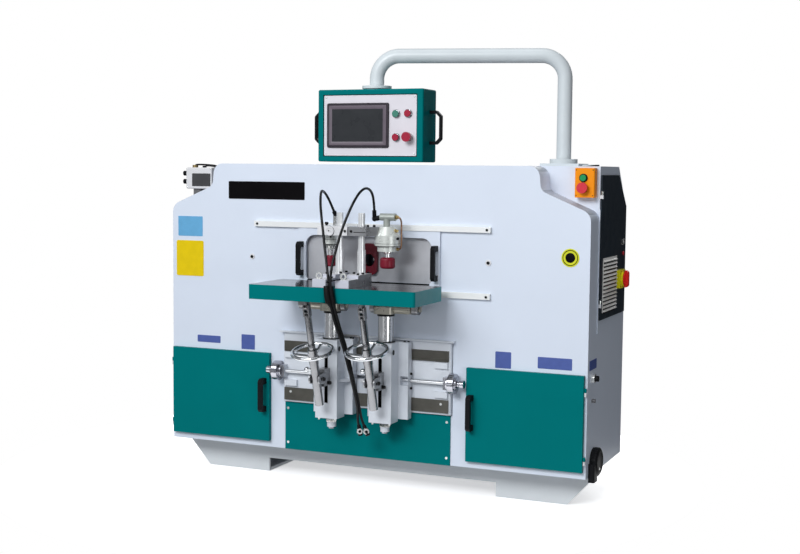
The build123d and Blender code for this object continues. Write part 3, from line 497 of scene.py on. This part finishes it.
def route(pts, res):
    """Points read from the smooth line that has pts as its control points."""
    cu = bpy.data.curves.new("route", "CURVE")
    cu.dimensions = "3D"
    cu.resolution_u = res
    sp = cu.splines.new("NURBS")
    sp.points.add(len(pts) - 1)
    for p, q in zip(sp.points, pts):
        p.co = (*V(*q), 1.0)
    sp.order_u = 3
    sp.use_endpoint_u = True
    ob = link(bpy.data.objects.new("route", cu))
    bpy.context.view_layer.update()
    me = bpy.data.meshes.new_from_object(ob)
    line = [v.co.copy() for v in me.vertices]
    bpy.data.objects.remove(ob)
    bpy.data.meshes.remove(me)
    return line


def tube(name, line, radius, mat, seg=14):
    """Mesh tube along a line; radius is in metres, or a function of (point, distance along, angle from the X side)."""
    rad = radius if callable(radius) else (lambda p, s, t: radius)
    vs, fs, dist = [], [], 0.0
    for i, p in enumerate(line):
        a, b = line[max(i - 1, 0)], line[min(i + 1, len(line) - 1)]
        d = (b - a).normalized()
        side = (X - d * X.dot(d)).normalized()
        up = d.cross(side)
        if i:
            dist += (p - line[i - 1]).length
        for k in range(seg):
            t = 2 * math.pi * k / seg
            vs.append(p + (side * math.cos(t) + up * math.sin(t)) * rad(p, dist, t))
    for i in range(len(line) - 1):
        for k in range(seg):
            j = (k + 1) % seg
            fs.append([i * seg + k, i * seg + j, (i + 1) * seg + j, (i + 1) * seg + k])
    fs.append(list(range(seg))[::-1])
    fs.append([(len(line) - 1) * seg + k for k in range(seg)])
    me = bpy.data.meshes.new(name)
    me.from_pydata([tuple(v) for v in vs], [], fs)
    me.update()
    me.polygons.foreach_set("use_smooth", [True] * len(me.polygons))
    me.set_sharp_from_angle(angle=math.radians(50))
    me.materials.append(M[mat])
    return link(bpy.data.objects.new(name, me))


def wrap_radius(out, wide):
    """Spiral wrap, full where it crosses the table's front on the side away from the other hose, and thin below it."""
    def rad(p, s, t):
        k = min(1.0, max(0.0, (p.z - 0.700) / 0.026))
        k = k * k * (3 - 2 * k)
        full = 0.0062 + (wide - 0.0062) * (0.5 + 0.5 * out * math.cos(t)) ** 1.5
        return 0.0051 + (full - 0.0051) * k + 0.0003 * abs(math.sin(math.pi * s / 0.011 - t / 2))
    return rad


for side, out, wide, pts in (("left", -1, 0.0160, LEFT_HOSE), ("right", 1, 0.0085, RIGHT_HOSE)):
    line = route(pts, 16)
    hose = tube(side + "_air_hose", line, 0.0045, "rubber")
    fine = [p for p in route(pts, 48) if 0.470 < p.z < 0.776 and p.y < -0.44]
    sleeve = tube(side + "_hose_sleeve", fine, wrap_radius(out, wide), "wrap", 20)
    for ob in (hose, sleeve):
        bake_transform(ob)
    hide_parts(side + "_hose")
    # black barrel and mouth of the fitting on the hose's end
    d = (V(*pts[-1]) - V(*pts[-2])).normalized()
    e = V(*pts[-1])
    p = Piece()
    p.lathe([(0, -6), (5.6, -6), (7.0, -3), (7.0, 9), (9.7, 9.4), (9.7, 11), (0, 11)], e, d, 28)
    p.lathe([(7.4, 23.6), (9.7, 23.6), (9.7, 25.5), (8.2, 26), (8.2, 33), (0, 33)], e, d, 28)
    m = e + d * 0.0165
    p.lathe([(0, 8.6), (5.0, 8.6), (5.0, 10.6), (4.2, 11.2), (0, 11.2)], m, (-Y + X * 0.5).normalized(), 24)
    barrel = p.make(side + "_fitting_barrel", "black", side + "_column")
    p = Piece()
    p.lathe([(5.0, 8.2), (10.4, 8.2), (10.4, 9.6), (9.6, 10.6), (5.6, 10.6), (5.0, 10.0)], m, (-Y + X * 0.5).normalized(), 28)
    ring = p.make(side + "_fitting_ring", "screw", side + "_column")


# ---------------------------------------------------------------- plates, all blank
def plate_on_mask(name, x0, x1, z0, z1, mat, r=3.0, t=1.0, body="base", y=0.0):
    p = Piece()
    p.plate(x1 - x0, z1 - z0, t, r, V((x0 + x1) / 2, y, (z0 + z1) / 2), *FRONT)
    return p.make(name, mat, body)


plate_on_mask("blank_name_plate", -577, -255, 1057, 1123, "p_black", 4.0, 1.2)
plate_on_mask("blank_blue_plate", -801, -692, 911, 987, "p_blue")
plate_on_mask("blank_yellow_plate", -809, -688, 758, 894, "p_yellow", 6.0)
plate_on_mask("blank_violet_plate_1", -716, -614, 505, 532, "p_purple")
plate_on_mask("blank_violet_plate_2", -522, -464, 489, 545, "p_purple")
plate_on_mask("blank_violet_plate_3", 494, 552, 487, 545, "p_purple")
plate_on_mask("blank_violet_plate_4", 648, 770, 496, 536, "p_purple")
p = Piece()
p.plate(92, 34, 1.0, 3.0, V(825, 66, 512), *SIDE)
p.make("blank_violet_plate_5", "p_purple", "base")
p = Piece()
p.ring(17, 31.5, 1.2, V(756, 0, 880), -Y)
p.make("round_plate_rim", "p_lime", "base")
p = Piece()
p.lathe([(0, 0), (17.2, 0), (17.2, 0.7), (16.6, 0.9), (0, 0.9)], V(756, 0, 880), -Y, 40)
p.lathe([(24.4, 0.9), (24.4, 1.5), (27.0, 1.5), (27.0, 0.9)], V(756, 0, 880), -Y, 40)
p.make("round_plate_centre", "p_black", "base")

# stop screws of the guard on the mask, with washers
p, q = Piece(), Piece()
for x, z in ((-475, 842), (463, 852)):
    q.ring(4, 11, 2.0, V(x, 0, z), -Y)
    p.screw(V(x, -1.8, z), -Y, 5.5, 5.0)
p.make("guard_stop_screws", "dark", "base")
q.make("guard_stop_washers", "block", "base")

# ---------------------------------------------------------------- pendant face
PY = -14.0
face = bpy.data.curves.new("face_outline", "CURVE")
face.dimensions = "2D"
face.fill_mode = "BOTH"
face.extrude = 0.0006


def closed(curve, pts):
    sp = curve.splines.new("POLY")
    sp.points.add(len(pts) - 1)
    for a, b in zip(sp.points, pts):
        a.co = (b[0] * 0.001, b[1] * 0.001, 0, 1)
    sp.use_cyclic_u = True


def circle(cx, cy, r, n=40):
    return [(cx + r * math.cos(2 * math.pi * k / n), cy + r * math.sin(2 * math.pi * k / n)) for k in range(n)]


FX, FZ = 12.5, 1328.0
closed(face, rrect(362, 215, 4))
closed(face, [(a - 33.5 - FX, b + 1328.5 - FZ) for a, b in rrect(243, 159, 6)])
for x, z, r in ((116, 1369, 14.5), (162, 1370, 14.5), (116, 1286, 14.5), (165, 1287, 14.3)):
    closed(face, circle(x - FX, z - FZ, r))
tmp = link(bpy.data.objects.new("face_outline", face))
bpy.context.view_layer.update()
me = bpy.data.meshes.new_from_object(tmp)
bpy.data.objects.remove(tmp)
me.transform(Matrix(((1, 0, 0), (0, 0, -1), (0, 1, 0))).to_4x4())
me.transform(Matrix.Translation(V(FX, PY - 0.6, FZ)))
me.materials.clear()
me.materials.append(M["face"])
ob = link(bpy.data.objects.new("pendant_face_plate", me))
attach(ob, "pendant")

p = Piece()
o = V(FX, PY, FZ)
outer, inner = rrect(362.4, 215.4, 5), rrect(356.6, 209.6, 4)
k = len(outer)
vs = [o + (X * a + Z * b) * 0.001 for a, b in outer] + [o + (X * a + Z * b - Y * 1.8) * 0.001 for a, b in rrect(361.4, 214.4, 5)]
vs += [o + (X * a + Z * b - Y * 1.8) * 0.001 for a, b in rrect(357.6, 210.6, 4.5)] + [o + (X * a + Z * b) * 0.001 for a, b in inner]
fs = []
for L in range(3):
    for i in range(k):
        j = (i + 1) % k
        fs.append([L * k + i, L * k + j, (L + 1) * k + j, (L + 1) * k + i])
p.add(vs, fs)
p.make("pendant_face_trim", "trim", "pendant")
p = Piece()
for dx in (-1, 1):
    for dz in (-1, 1):
        p.screw(V(FX + dx * 173, PY - 1.2, FZ + dz * 100), -Y, 3.2, 1.6, socket=False)
p.make("pendant_face_screws", "screw", "pendant")

# screen: inner frame stepping down to the display
SX, SZ, SY = -33.5, 1328.5, PY - 8.0
p = Piece()
o = V(SX, SY, SZ)
ringpts = [(rrect(226, 142, 3), 0.0), (rrect(225, 141, 3), 0.9), (rrect(219, 135, 2.5), 1.1), (rrect(201, 117, 1.5), 0.5), (rrect(199, 115, 1.5), 0.0)]
k = len(ringpts[0][0])
vs = [o + (X * a + Z * b - Y * h) * 0.001 for pts, h in ringpts for a, b in pts]
fs = []
for L in range(len(ringpts) - 1):
    for i in range(k):
        j = (i + 1) % k
        fs.append([L * k + i, L * k + j, (L + 1) * k + j, (L + 1) * k + i])
p.add(vs, fs)
p.make("screen_inner_frame", "frame2", "pendant", "screen")
p = Piece()
p.plate(200.4, 116.4, 0.35, 1.5, o, *FRONT, c=0.1)
p.make("screen_display", "display", "pendant", "screen")

# button rims
p = Piece()
for x, z, r in ((116, 1369, 14.2), (162, 1370, 14.2), (116, 1286, 14.2)):
    p.lathe([(12.3, 0), (r + 0.8, 0), (r + 0.8, 0.6), (r - 0.2, 1.6), (12.8, 1.9), (12.3, 1.4), (12.3, 0)], V(x, PY - 5.4, z), -Y, 40)
p.make("pendant_button_rims", "bracket", "pendant")

# ---------------------------------------------------------------- lip along the rear edge of the mask's right side
p = Piece()
p.plate(4.0, 430, 4.0, 0.8, V(825, 105.5, 828), *SIDE, c=0.8)
p.make("mask_side_lip", "white", "base")

# ---------------------------------------------------------------- dark strip along the lower edge of the guard's window: painted shade where the table shades the sill
p = Piece()
p.plate(484, 12, 0.8, 1.0, V(4, -8, 763.8), *FRONT, c=0.3)
p.make("window_sill_painted_shade", "dark", "guard")

# ---------------------------------------------------------------- bolted covers on the back, with vent slots and the duct's flange
p, q = Piece(), Piece()
for cx, cz, w, h in ((-412, 385, 700, 420), (412, 385, 700, 420), (0, 878, 780, 380), (692, 915, 210, 460)):
    p.plate(w, h, 1.6, 8.0, V(cx, 491, cz), *BACK, c=0.6)
    nx, nz = (4, 3) if w > 300 else (2, 3)
    for i in range(nx):
        for k in range(nz):
            if i in (0, nx - 1) or k in (0, nz - 1):
                q.screw(V(cx + (i / (nx - 1) - 0.5) * (w - 32), 492.6, cz + (k / (nz - 1) - 0.5) * (h - 32)), Y, 5.0, 2.6)
p.make("rear_covers", "white", "base")
q.make("rear_cover_screws", "screw", "base")
# the vent slots are dark strips on the covers: painted shade in place of openings
p = Piece()
for cx, cz, n in ((-412, 520, 6), (692, 1040, 8)):
    for k in range(n):
        p.plate(120, 5.0, 0.3, 2.4, V(cx, 492.6, cz - 13 * k), *BACK, c=0.1)
p.make("rear_vent_slots", "dark", "base")
p, q = Piece(), Piece()
p.ring(75.2, 98, 4.0, V(0, 492.6, 860), Y, 56)
for k in range(6):
    a = math.radians(30 + 60 * k)
    q.screw(V(87 * math.cos(a), 496.6, 860 + 87 * math.sin(a)), Y, 4.5, 3.0)
p.make("duct_flange", "zinc", "base")
q.make("duct_flange_screws", "screw", "base")

# ---------------------------------------------------------------- main switch, grille and locks on the electrical door
p = Piece()
GY, GZ = 246.0, 776.5
o = V(831, GY, GZ)
outer = rrect(196, 191, 4)
p.loft([(outer, 0), (outer, 1.2), (rrect(194, 189, 3.4), 1.6)], o, *SIDE)
for i in range(14):
    z = 688.5 + 13.4 * i - GZ
    sec = [(-91, z - 4.2), (91, z - 4.2), (91, z + 1.6), (-91, z + 1.6)]
    top = [(-91, z - 4.2), (91, z - 4.2), (91, z - 2.8), (-91, z - 2.8)]
    p.loft([(sec, 1.2), (sec, 1.8), (top, 6.0)], o, *SIDE)
p.make("vent_grille", "beige", "electrical_door")
# dark plates between the louvres: painted shade in the gaps behind the grille
p = Piece()
for i in range(14):
    z = 688.5 + 13.4 * i - GZ
    p.plate(182, 5.8, 0.3, 0.5, o + Vector((0.0016, 0, (z - 7.9) * 0.001)), *SIDE, c=0.1)
p.make("vent_grille_gaps", "dark", "electrical_door")
p = Piece()
p.lathe([(0, 0), (11, 0), (11, 2.5), (9.5, 4), (5, 4), (4.6, 2.6), (0, 2.6)], V(831, 433, 916), X, 28)
p.make("door_locks", "nickel", "electrical_door")
p = Piece()
p.lathe([(0, 0), (7.5, 0), (7.5, 3), (6.5, 4), (0, 4)], V(831, 437, 875), X, 28)
p.make("door_key_cover", "red_lit", "electrical_door")
p = Piece()
for dy in (-1, 1):
    for dz in (-1, 1):
        p.screw(V(845, 387 + dy * 31, 785 + dz * 27), X, 2.4, 1.0)
p.make("main_switch_trim", "dark", "electrical_door")

# ---------------------------------------------------------------- station
p = Piece()
p.ring(11.6, 13.4, 1.0, V(775, 72, 1150), -Y, 40)
p.make("station_start_rim", "black", "base")
p = Piece()
for x in (750, 808):
    for z in (1090, 1177):
        p.screw(V(x, 76, z), -Y, 2.0, 0.8, socket=False)
p.make("station_screws", "dark", "base")

# ---------------------------------------------------------------- junction box front
plate_on_mask("junction_box_panel", -810, -727, 1100, 1150, "panel_grey", 2.0, 1.2, y=113.0)
p = Piece()
for x in (-832, -728):
    for z in (1096, 1167):
        p.screw(V(x, 113, z), -Y, 2.6, 1.2, socket=False)
p.make("junction_box_screws", "screw", "base")


def bar(name, pts, r, mat, body):
    """Bent round bar or rigid pipe through pts, in mm."""
    p = Piece()
    line = route(pts, 12)
    seg = 14
    vs, fs, side = [], [], None
    for i, q in enumerate(line):
        d = (line[min(i + 1, len(line) - 1)] - line[max(i - 1, 0)]).normalized()
        side = (d.orthogonal() if side is None else side - d * side.dot(d)).normalized()
        up = d.cross(side)
        vs += [q + (side * math.cos(2 * math.pi * k / seg) + up * math.sin(2 * math.pi * k / seg)) * (r * 0.001) for k in range(seg)]
    for i in range(len(line) - 1):
        for k in range(seg):
            j = (k + 1) % seg
            fs.append([i * seg + k, i * seg + j, (i + 1) * seg + j, (i + 1) * seg + k])
    fs.append(list(range(seg))[::-1])
    fs.append([(len(line) - 1) * seg + k for k in range(seg)])
    p.add(vs, fs)
    return p.make(name, mat, body)


# rigid conduit from the gland on the box into the cabinet behind the mask
bar("junction_conduit", [(-812, 140, 1180), (-811, 140, 1183), (-798, 140, 1185), (-760, 140, 1184), (-716, 140, 1181), (-694, 141, 1168),
                         (-688, 143, 1140)], 3.4, "black", "base")
bar("junction_conduit_lower", [(-770, 148, 1177), (-769, 148, 1179), (-758, 148, 1180), (-735, 148, 1178), (-716, 148, 1172),
                               (-704, 148, 1158), (-700, 148, 1130)], 2.6, "iron", "base")
p = Piece()
for z in (1118, 1150):
    p.lathe([(9.7, 0), (11.4, 0), (11.4, 4), (10.6, 5), (9.7, 5)], V(-838, 132, z), -X, 6)
p.make("junction_gland_nuts", "black", "base")

# ---------------------------------------------------------------- clamps: bolts, ring boss, copper tube
for side, s, cyl, fr, nr in (("left", -1, 102.0, 29.0, 17.0), ("right", 1, 121.0, 46.0, 25.0)):
    body = side + "_table"
    p = Piece()
    for x, y in ((26, -120), (60, -120), (26, -166), (62, -170), (60, -206)):
        p.screw(V(s * x, y, 808), Z, 5.0, 6.0)
    p.screw(V(s * 27, -236, 796), Z, 5.0, 6.0)
    if s > 0:
        p.screw(V(66, -141, 972), Z, 5.0, 7.0)
        p.screw(V(84, -126, 972), Z, 5.0, 7.0)
        p.screw(V(14, -166, 956), -Y, 4.6, 4.0)
    else:
        p.screw(V(-12, -162, 956), -Y, 4.6, 4.0)
        p.lathe([(0, 0), (4.0, 0), (4.0, 3), (6.6, 4), (6.6, 11), (5.2, 12.5), (0, 12.5)], V(-108, -113, 972), Z, 20)
        p.lathe([(0, 0), (3.4, 0), (3.4, 2.0), (0, 2.0)], V(-90, -114, 932), -Y, 16)
    p.make(side + "_clamp_bolts", "dark", body)
    p = Piece()
    p.ring(12.2, 15.5, 8, V(s * 42, -140, 972), Z, 36)
    p.ring(12.2, 15.2, 4, V(s * 42, -140, 886), Z, 36)
    p.make(side + "_post_collar", "post", body)
    p = Piece()
    if s > 0:
        p.lathe([(36.1, 0), (44.4, 0), (44.4, 1.5), (36.1, 1.5)], V(cyl, -92, 904.4), Z, 48)
    else:
        p.lathe([(nr + 0.2, 0), (fr - 1.5, 0), (fr - 1.5, 3.2), (nr + 0.2, 3.2)], V(s * cyl, -92, 902.6), Z, 48)
    p.lathe([(fr + 0.1, -0.6), (fr + 0.5, -0.4), (fr + 0.5, 0.4), (fr + 0.1, 0.6)], V(s * cyl, -92, 914 if s > 0 else 923), Z, 48)
    p.make(side + "_cylinder_bands", "dark", body)
    p = Piece()
    if s > 0:
        p.lathe([(12.4, 0), (19, 0), (21, 2), (21, 6), (12.4, 6)], V(cyl, -92, 880), Z, 40)
    else:
        p.ring(nr + 0.2, nr + 3.6, 6, V(s * cyl, -92, 892), Z, 40)
    p.make(side + "_gland_ring", "nickel", body)

p = Piece()
p.lathe([(0, 0), (17, 0), (17, 4), (15.5, 5.5), (11, 5.5), (10.2, 3.6), (5.5, 3.6), (5.0, 5.0), (0, 5.0)], V(-71, -162, 955), -Y, 36)
p.make("left_regulator_boss", "block", "left_table")
p = Piece()
p.lathe([(0, 0), (2.6, 0), (2.6, 0.8), (0, 0.8)], V(-73, -166.8, 956), -Y, 20)
p.lathe([(15.6, 0), (17.6, 0), (17.6, 0.9), (15.6, 0.9)], V(-71, -162, 955), -Y, 36)
p.make("left_regulator_port", "dark", "left_table")

bar("copper_air_pipe", [(150, -92, 1006), (158, -92, 1006), (167, -92, 1004), (172, -92, 994), (173, -92, 975), (173, -92, 950), (173, -92, 920),
                        (172.5, -92, 906), (170.5, -92, 898), (166, -92, 895), (158, -92, 895)], 2.9, "copper", "right_table")
p = Piece()
p.lathe([(0, 0), (8, 0), (8, 8), (6.0, 9), (6.0, 13), (3.4, 14), (0, 14)], V(149, -92, 1006), X, 6)
p.lathe([(0, 0), (6.5, 0), (6.5, 7), (5.0, 8), (5.0, 9), (3.4, 10), (0, 10)], V(155, -92, 895), X, 6)
p.lathe([(0, 0), (6.5, 0), (6.5, 8), (5.0, 9), (5.0, 14), (0, 14)], V(152, -102, 959), (X - Y * 0.35).normalized(), 6)
p.make("copper_pipe_nuts", "brass", "right_table")
p = Piece()
p.lathe([(0, 0), (5, 0), (5, 9), (4, 10), (0, 10)], V(160, -106, 932), (X - Y * 0.35).normalized(), 16)
p.make("right_cylinder_port", "dark", "right_table")

# dark strip across the right clamp arm's front: painted shade, standing in for the shaded lower side of a rounded bar
p = Piece()
p.plate(46, 2.6, 0.3, 0.6, V(46, -166, 953), *FRONT, c=0.1)
p.make("right_arm_painted_shade_line", "dark", "right_table")

# ---------------------------------------------------------------- columns, knees and struts
for side, s in (("left", -1), ("right", 1)):
    ux = s * 106.0
    p = Piece()
    p.lathe([(28.1, 0), (31, 0.6), (31, 8), (28.1, 9)], V(ux, -68, 655), Z, 48)
    p.make(side + "_column_seal", "dark", side + "_column")
    p = Piece()
    p.lathe([(28.4, 0), (34, 0), (34, 2.4), (32.5, 3.4), (28.4, 3.4)], V(ux, -68, 562), Z, 48)
    p.make(side + "_column_wiper", "dark", side + "_knee")
    p = Piece()
    p.lathe([(0, 0), (9.5, 0), (9.5, 0.6), (7, 0.8), (0, 0.8)], V(ux + 43, -97, 530), X, 28)
    for z in (448, 396):
        p.screw(V(s * 187, -30, z), Vector((s, 0, 0)), 4.6, 6.0)
    for x, z in ((ux + 60, 562), (ux + (75 if s > 0 else 69), 562)):
        p.screw(V(x, -37, z), Z, 4.0, 3.5)
    p.make(side + "_knee_screws", "dark", side + "_knee")
    p = Piece()
    p.screw(V(ux - 33, -104, 277), -Z, 4.6, 8.0, socket=False)
    p.screw(V(ux + 33, -104, 277), -Z, 4.6, 8.0, socket=False)
    p.make(side + "_knee_stop_screws", "screw", side + "_knee")
    p = Piece()
    p.lathe([(16.6, 0), (19.0, 0), (20.5, 1.5), (20.5, 10), (19.0, 11.5), (16.6, 11.5)], V(ux, -68, 258), Z, 6)
    p.make(side + "_lift_screw_nut", "nickel", side + "_knee")
    o = V(ux, CLAMP[0], CLAMP[1])
    p = Piece()
    p.screw(o + AX * ((STRUT_L - 28.5) * 0.001) + LF * 0.0095, LF, 5.5, 2.4)
    p.make(side + "_yoke_pin", "dark", side + "_strut_rod")
    p = Piece()
    p.screw(V(ux, -283, 697), -Y, 5.2, 2.4)
    p.make(side + "_lug_pin", "dark", side + "_table")
    p = Piece()
    p.screw(V(ux + 21.5, -180, 431), X, 7.0, 7.0)
    p.screw(V(ux + 15, -134, 411), X, 6.5, 14.0)
    p.make(side + "_clamp_bolt", "dark", side + "_column")

# bent lever between the knees
bar("knee_lever", [(-88, -40, 568), (-80, -40, 570), (-64, -40, 571), (-34, -40, 572), (-14, -40, 571), (-9, -40, 560), (-12, -40, 548), (-24, -40, 538), (-34, -40, 534)],
    4.0, "iron", "left_knee")
plate_on_mask("way_stop_block", -15, 10, 400.5, 411.5, "block", 1.0, 6.0, y=-14.0)
# tie that holds the hoses to the right clamp base
bar("hose_tie", [(-5, -323, 789), (8, -323, 792), (22, -312, 796), (38, -299, 798.5)], 2.2, "black", "right_table")

# ---------------------------------------------------------------- cowl screw and gland
p = Piece()
p.ring(33, 40, 2.0, V(850, 92, 170), X, 48)
for i in range(28):
    t = 2 * math.pi * i / 28
    u = Vector((0, math.cos(t), math.sin(t)))
    p.lathe([(0, 0), (2.6, 0), (2.6, 15), (1.6, 16), (0, 16)], V(831, 92, 170) + u * 0.0470, X, 10)
p.make("cowl_ribs", "black", "base")
p = Piece()
p.screw(V(850, 88, 147), X, 5.0, 2.8, socket=False)
p.make("cowl_screw", "screw", "base")


# ---------------------------------------------------------------- stage
floor_mat = surface("studio_floor", (0.90, 0.90, 0.905), 0.55, tone=0.01, tone_size=1.5, gloss=0.05, grain=0.02, grain_size=0.004)
me = bpy.data.meshes.new("floor")
rim = [(-0.22 + 1.36 * math.cos(2 * math.pi * k / 128), 0.02 + 1.36 * math.sin(2 * math.pi * k / 128), 0.0) for k in range(128)]
me.from_pydata(rim, [], [list(range(128))])
me.materials.append(floor_mat)
glow = floor_mat.node_tree.nodes["Principled BSDF"].inputs
glow["Emission Color"].default_value = (1, 1, 1, 1)
glow["Emission Strength"].default_value = 0.52       # keeps the shadows pale
floor = link(bpy.data.objects.new("floor", me))
floor.visible_diffuse = False

world = bpy.data.worlds.new("studio")
world.use_nodes = True
bpy.context.scene.world = world
wn, wl = world.node_tree.nodes, world.node_tree.links
sky = wn["Background"]
way = wn.new("ShaderNodeTexCoord")
lean = wn.new("ShaderNodeVectorMath")
lean.operation = "DOT_PRODUCT"
lean.inputs[1].default_value = (-0.52, -0.60, 0.61)
wl.new(way.outputs["Generated"], lean.inputs[0])
grade = wn.new("ShaderNodeValToRGB")
for e, (at, c) in zip(grade.color_ramp.elements, ((0.0, (0.036, 0.038, 0.042, 1)), (1.0, (0.34, 0.355, 0.375, 1)))):
    e.position, e.color = at, c
shift = wn.new("ShaderNodeMapRange")
shift.inputs["From Min"].default_value, shift.inputs["From Max"].default_value = -0.7, 0.9
wl.new(lean.outputs["Value"], shift.inputs["Value"])
wl.new(shift.outputs["Result"], grade.inputs["Fac"])
wl.new(grade.outputs["Color"], sky.inputs["Color"])
sky.inputs["Strength"].default_value = 1.0
backdrop = wn.new("ShaderNodeBackground")
backdrop.inputs["Color"].default_value = (1, 1, 1, 1)
backdrop.inputs["Strength"].default_value = 1.0
ray = wn.new("ShaderNodeLightPath")
pick = wn.new("ShaderNodeMixShader")
wl.new(ray.outputs["Is Camera Ray"], pick.inputs["Fac"])
wl.new(sky.outputs["Background"], pick.inputs[1])
wl.new(backdrop.outputs["Background"], pick.inputs[2])
wl.new(pick.outputs["Shader"], wn["World Output"].inputs["Surface"])


def area(name, at, to, size, power, color=(1, 1, 1)):
    li = bpy.data.lights.new(name, "AREA")
    li.shape = "RECTANGLE"
    li.size, li.size_y = size
    li.energy = power
    li.color = color
    ob = link(bpy.data.objects.new(name, li))
    ob.location = at
    ob.rotation_mode = "QUATERNION"
    ob.rotation_quaternion = (Vector(to) - Vector(at)).to_track_quat("-Z", "Y")
    return ob


COOL = (0.965, 0.985, 1.0)
area("key", (-2.6, -5.4, 4.2), (0, -0.2, 1.1), (3.0, 2.4), 92, COOL)
area("front", (-0.3, -6.0, 3.9), (0.5, -0.2, 1.1), (2.2, 2.0), 222, COOL)
fill = area("fill", (3.5, -2.6, 0.45), (0.8, 0.0, 0.65), (1.8, 0.8), 20, COOL)
area("low_front", (-0.5, -5.0, 0.4), (0, 0, 0.3), (2.6, 0.6), 8, COOL)
area("rear", (0.2, 5.2, 2.8), (0, 0, 0.7), (3.0, 2.0), 46)
sun = bpy.data.lights.new("overhead", "SUN")
sun.energy = 0.6
sun.angle = math.radians(40)
ob = link(bpy.data.objects.new("overhead", sun))
ob.location = (0, 0, 6)
# a second overhead lamp that falls on the floor only, so that the floor stays pale
only = bpy.data.collections.new("floor_only")
only.objects.link(floor)
lamp = bpy.data.lights.new("floor_wash", "SUN")
lamp.energy = 1.5
lamp.angle = math.radians(140)
ob = link(bpy.data.objects.new("floor_wash", lamp))
ob.location = (0, 0, 7)
ob.light_linking.receiver_collection = only
# the low side lamp is kept off the pendant
away = bpy.data.collections.new("pendant_out")
for name in ("pendant_box", "pendant_handles"):
    away.objects.link(NODE[name])
for c in away.collection_objects:
    c.light_linking.link_state = "EXCLUDE"
fill.light_linking.receiver_collection = away

bpy.context.scene.view_settings.view_transform = "Standard"
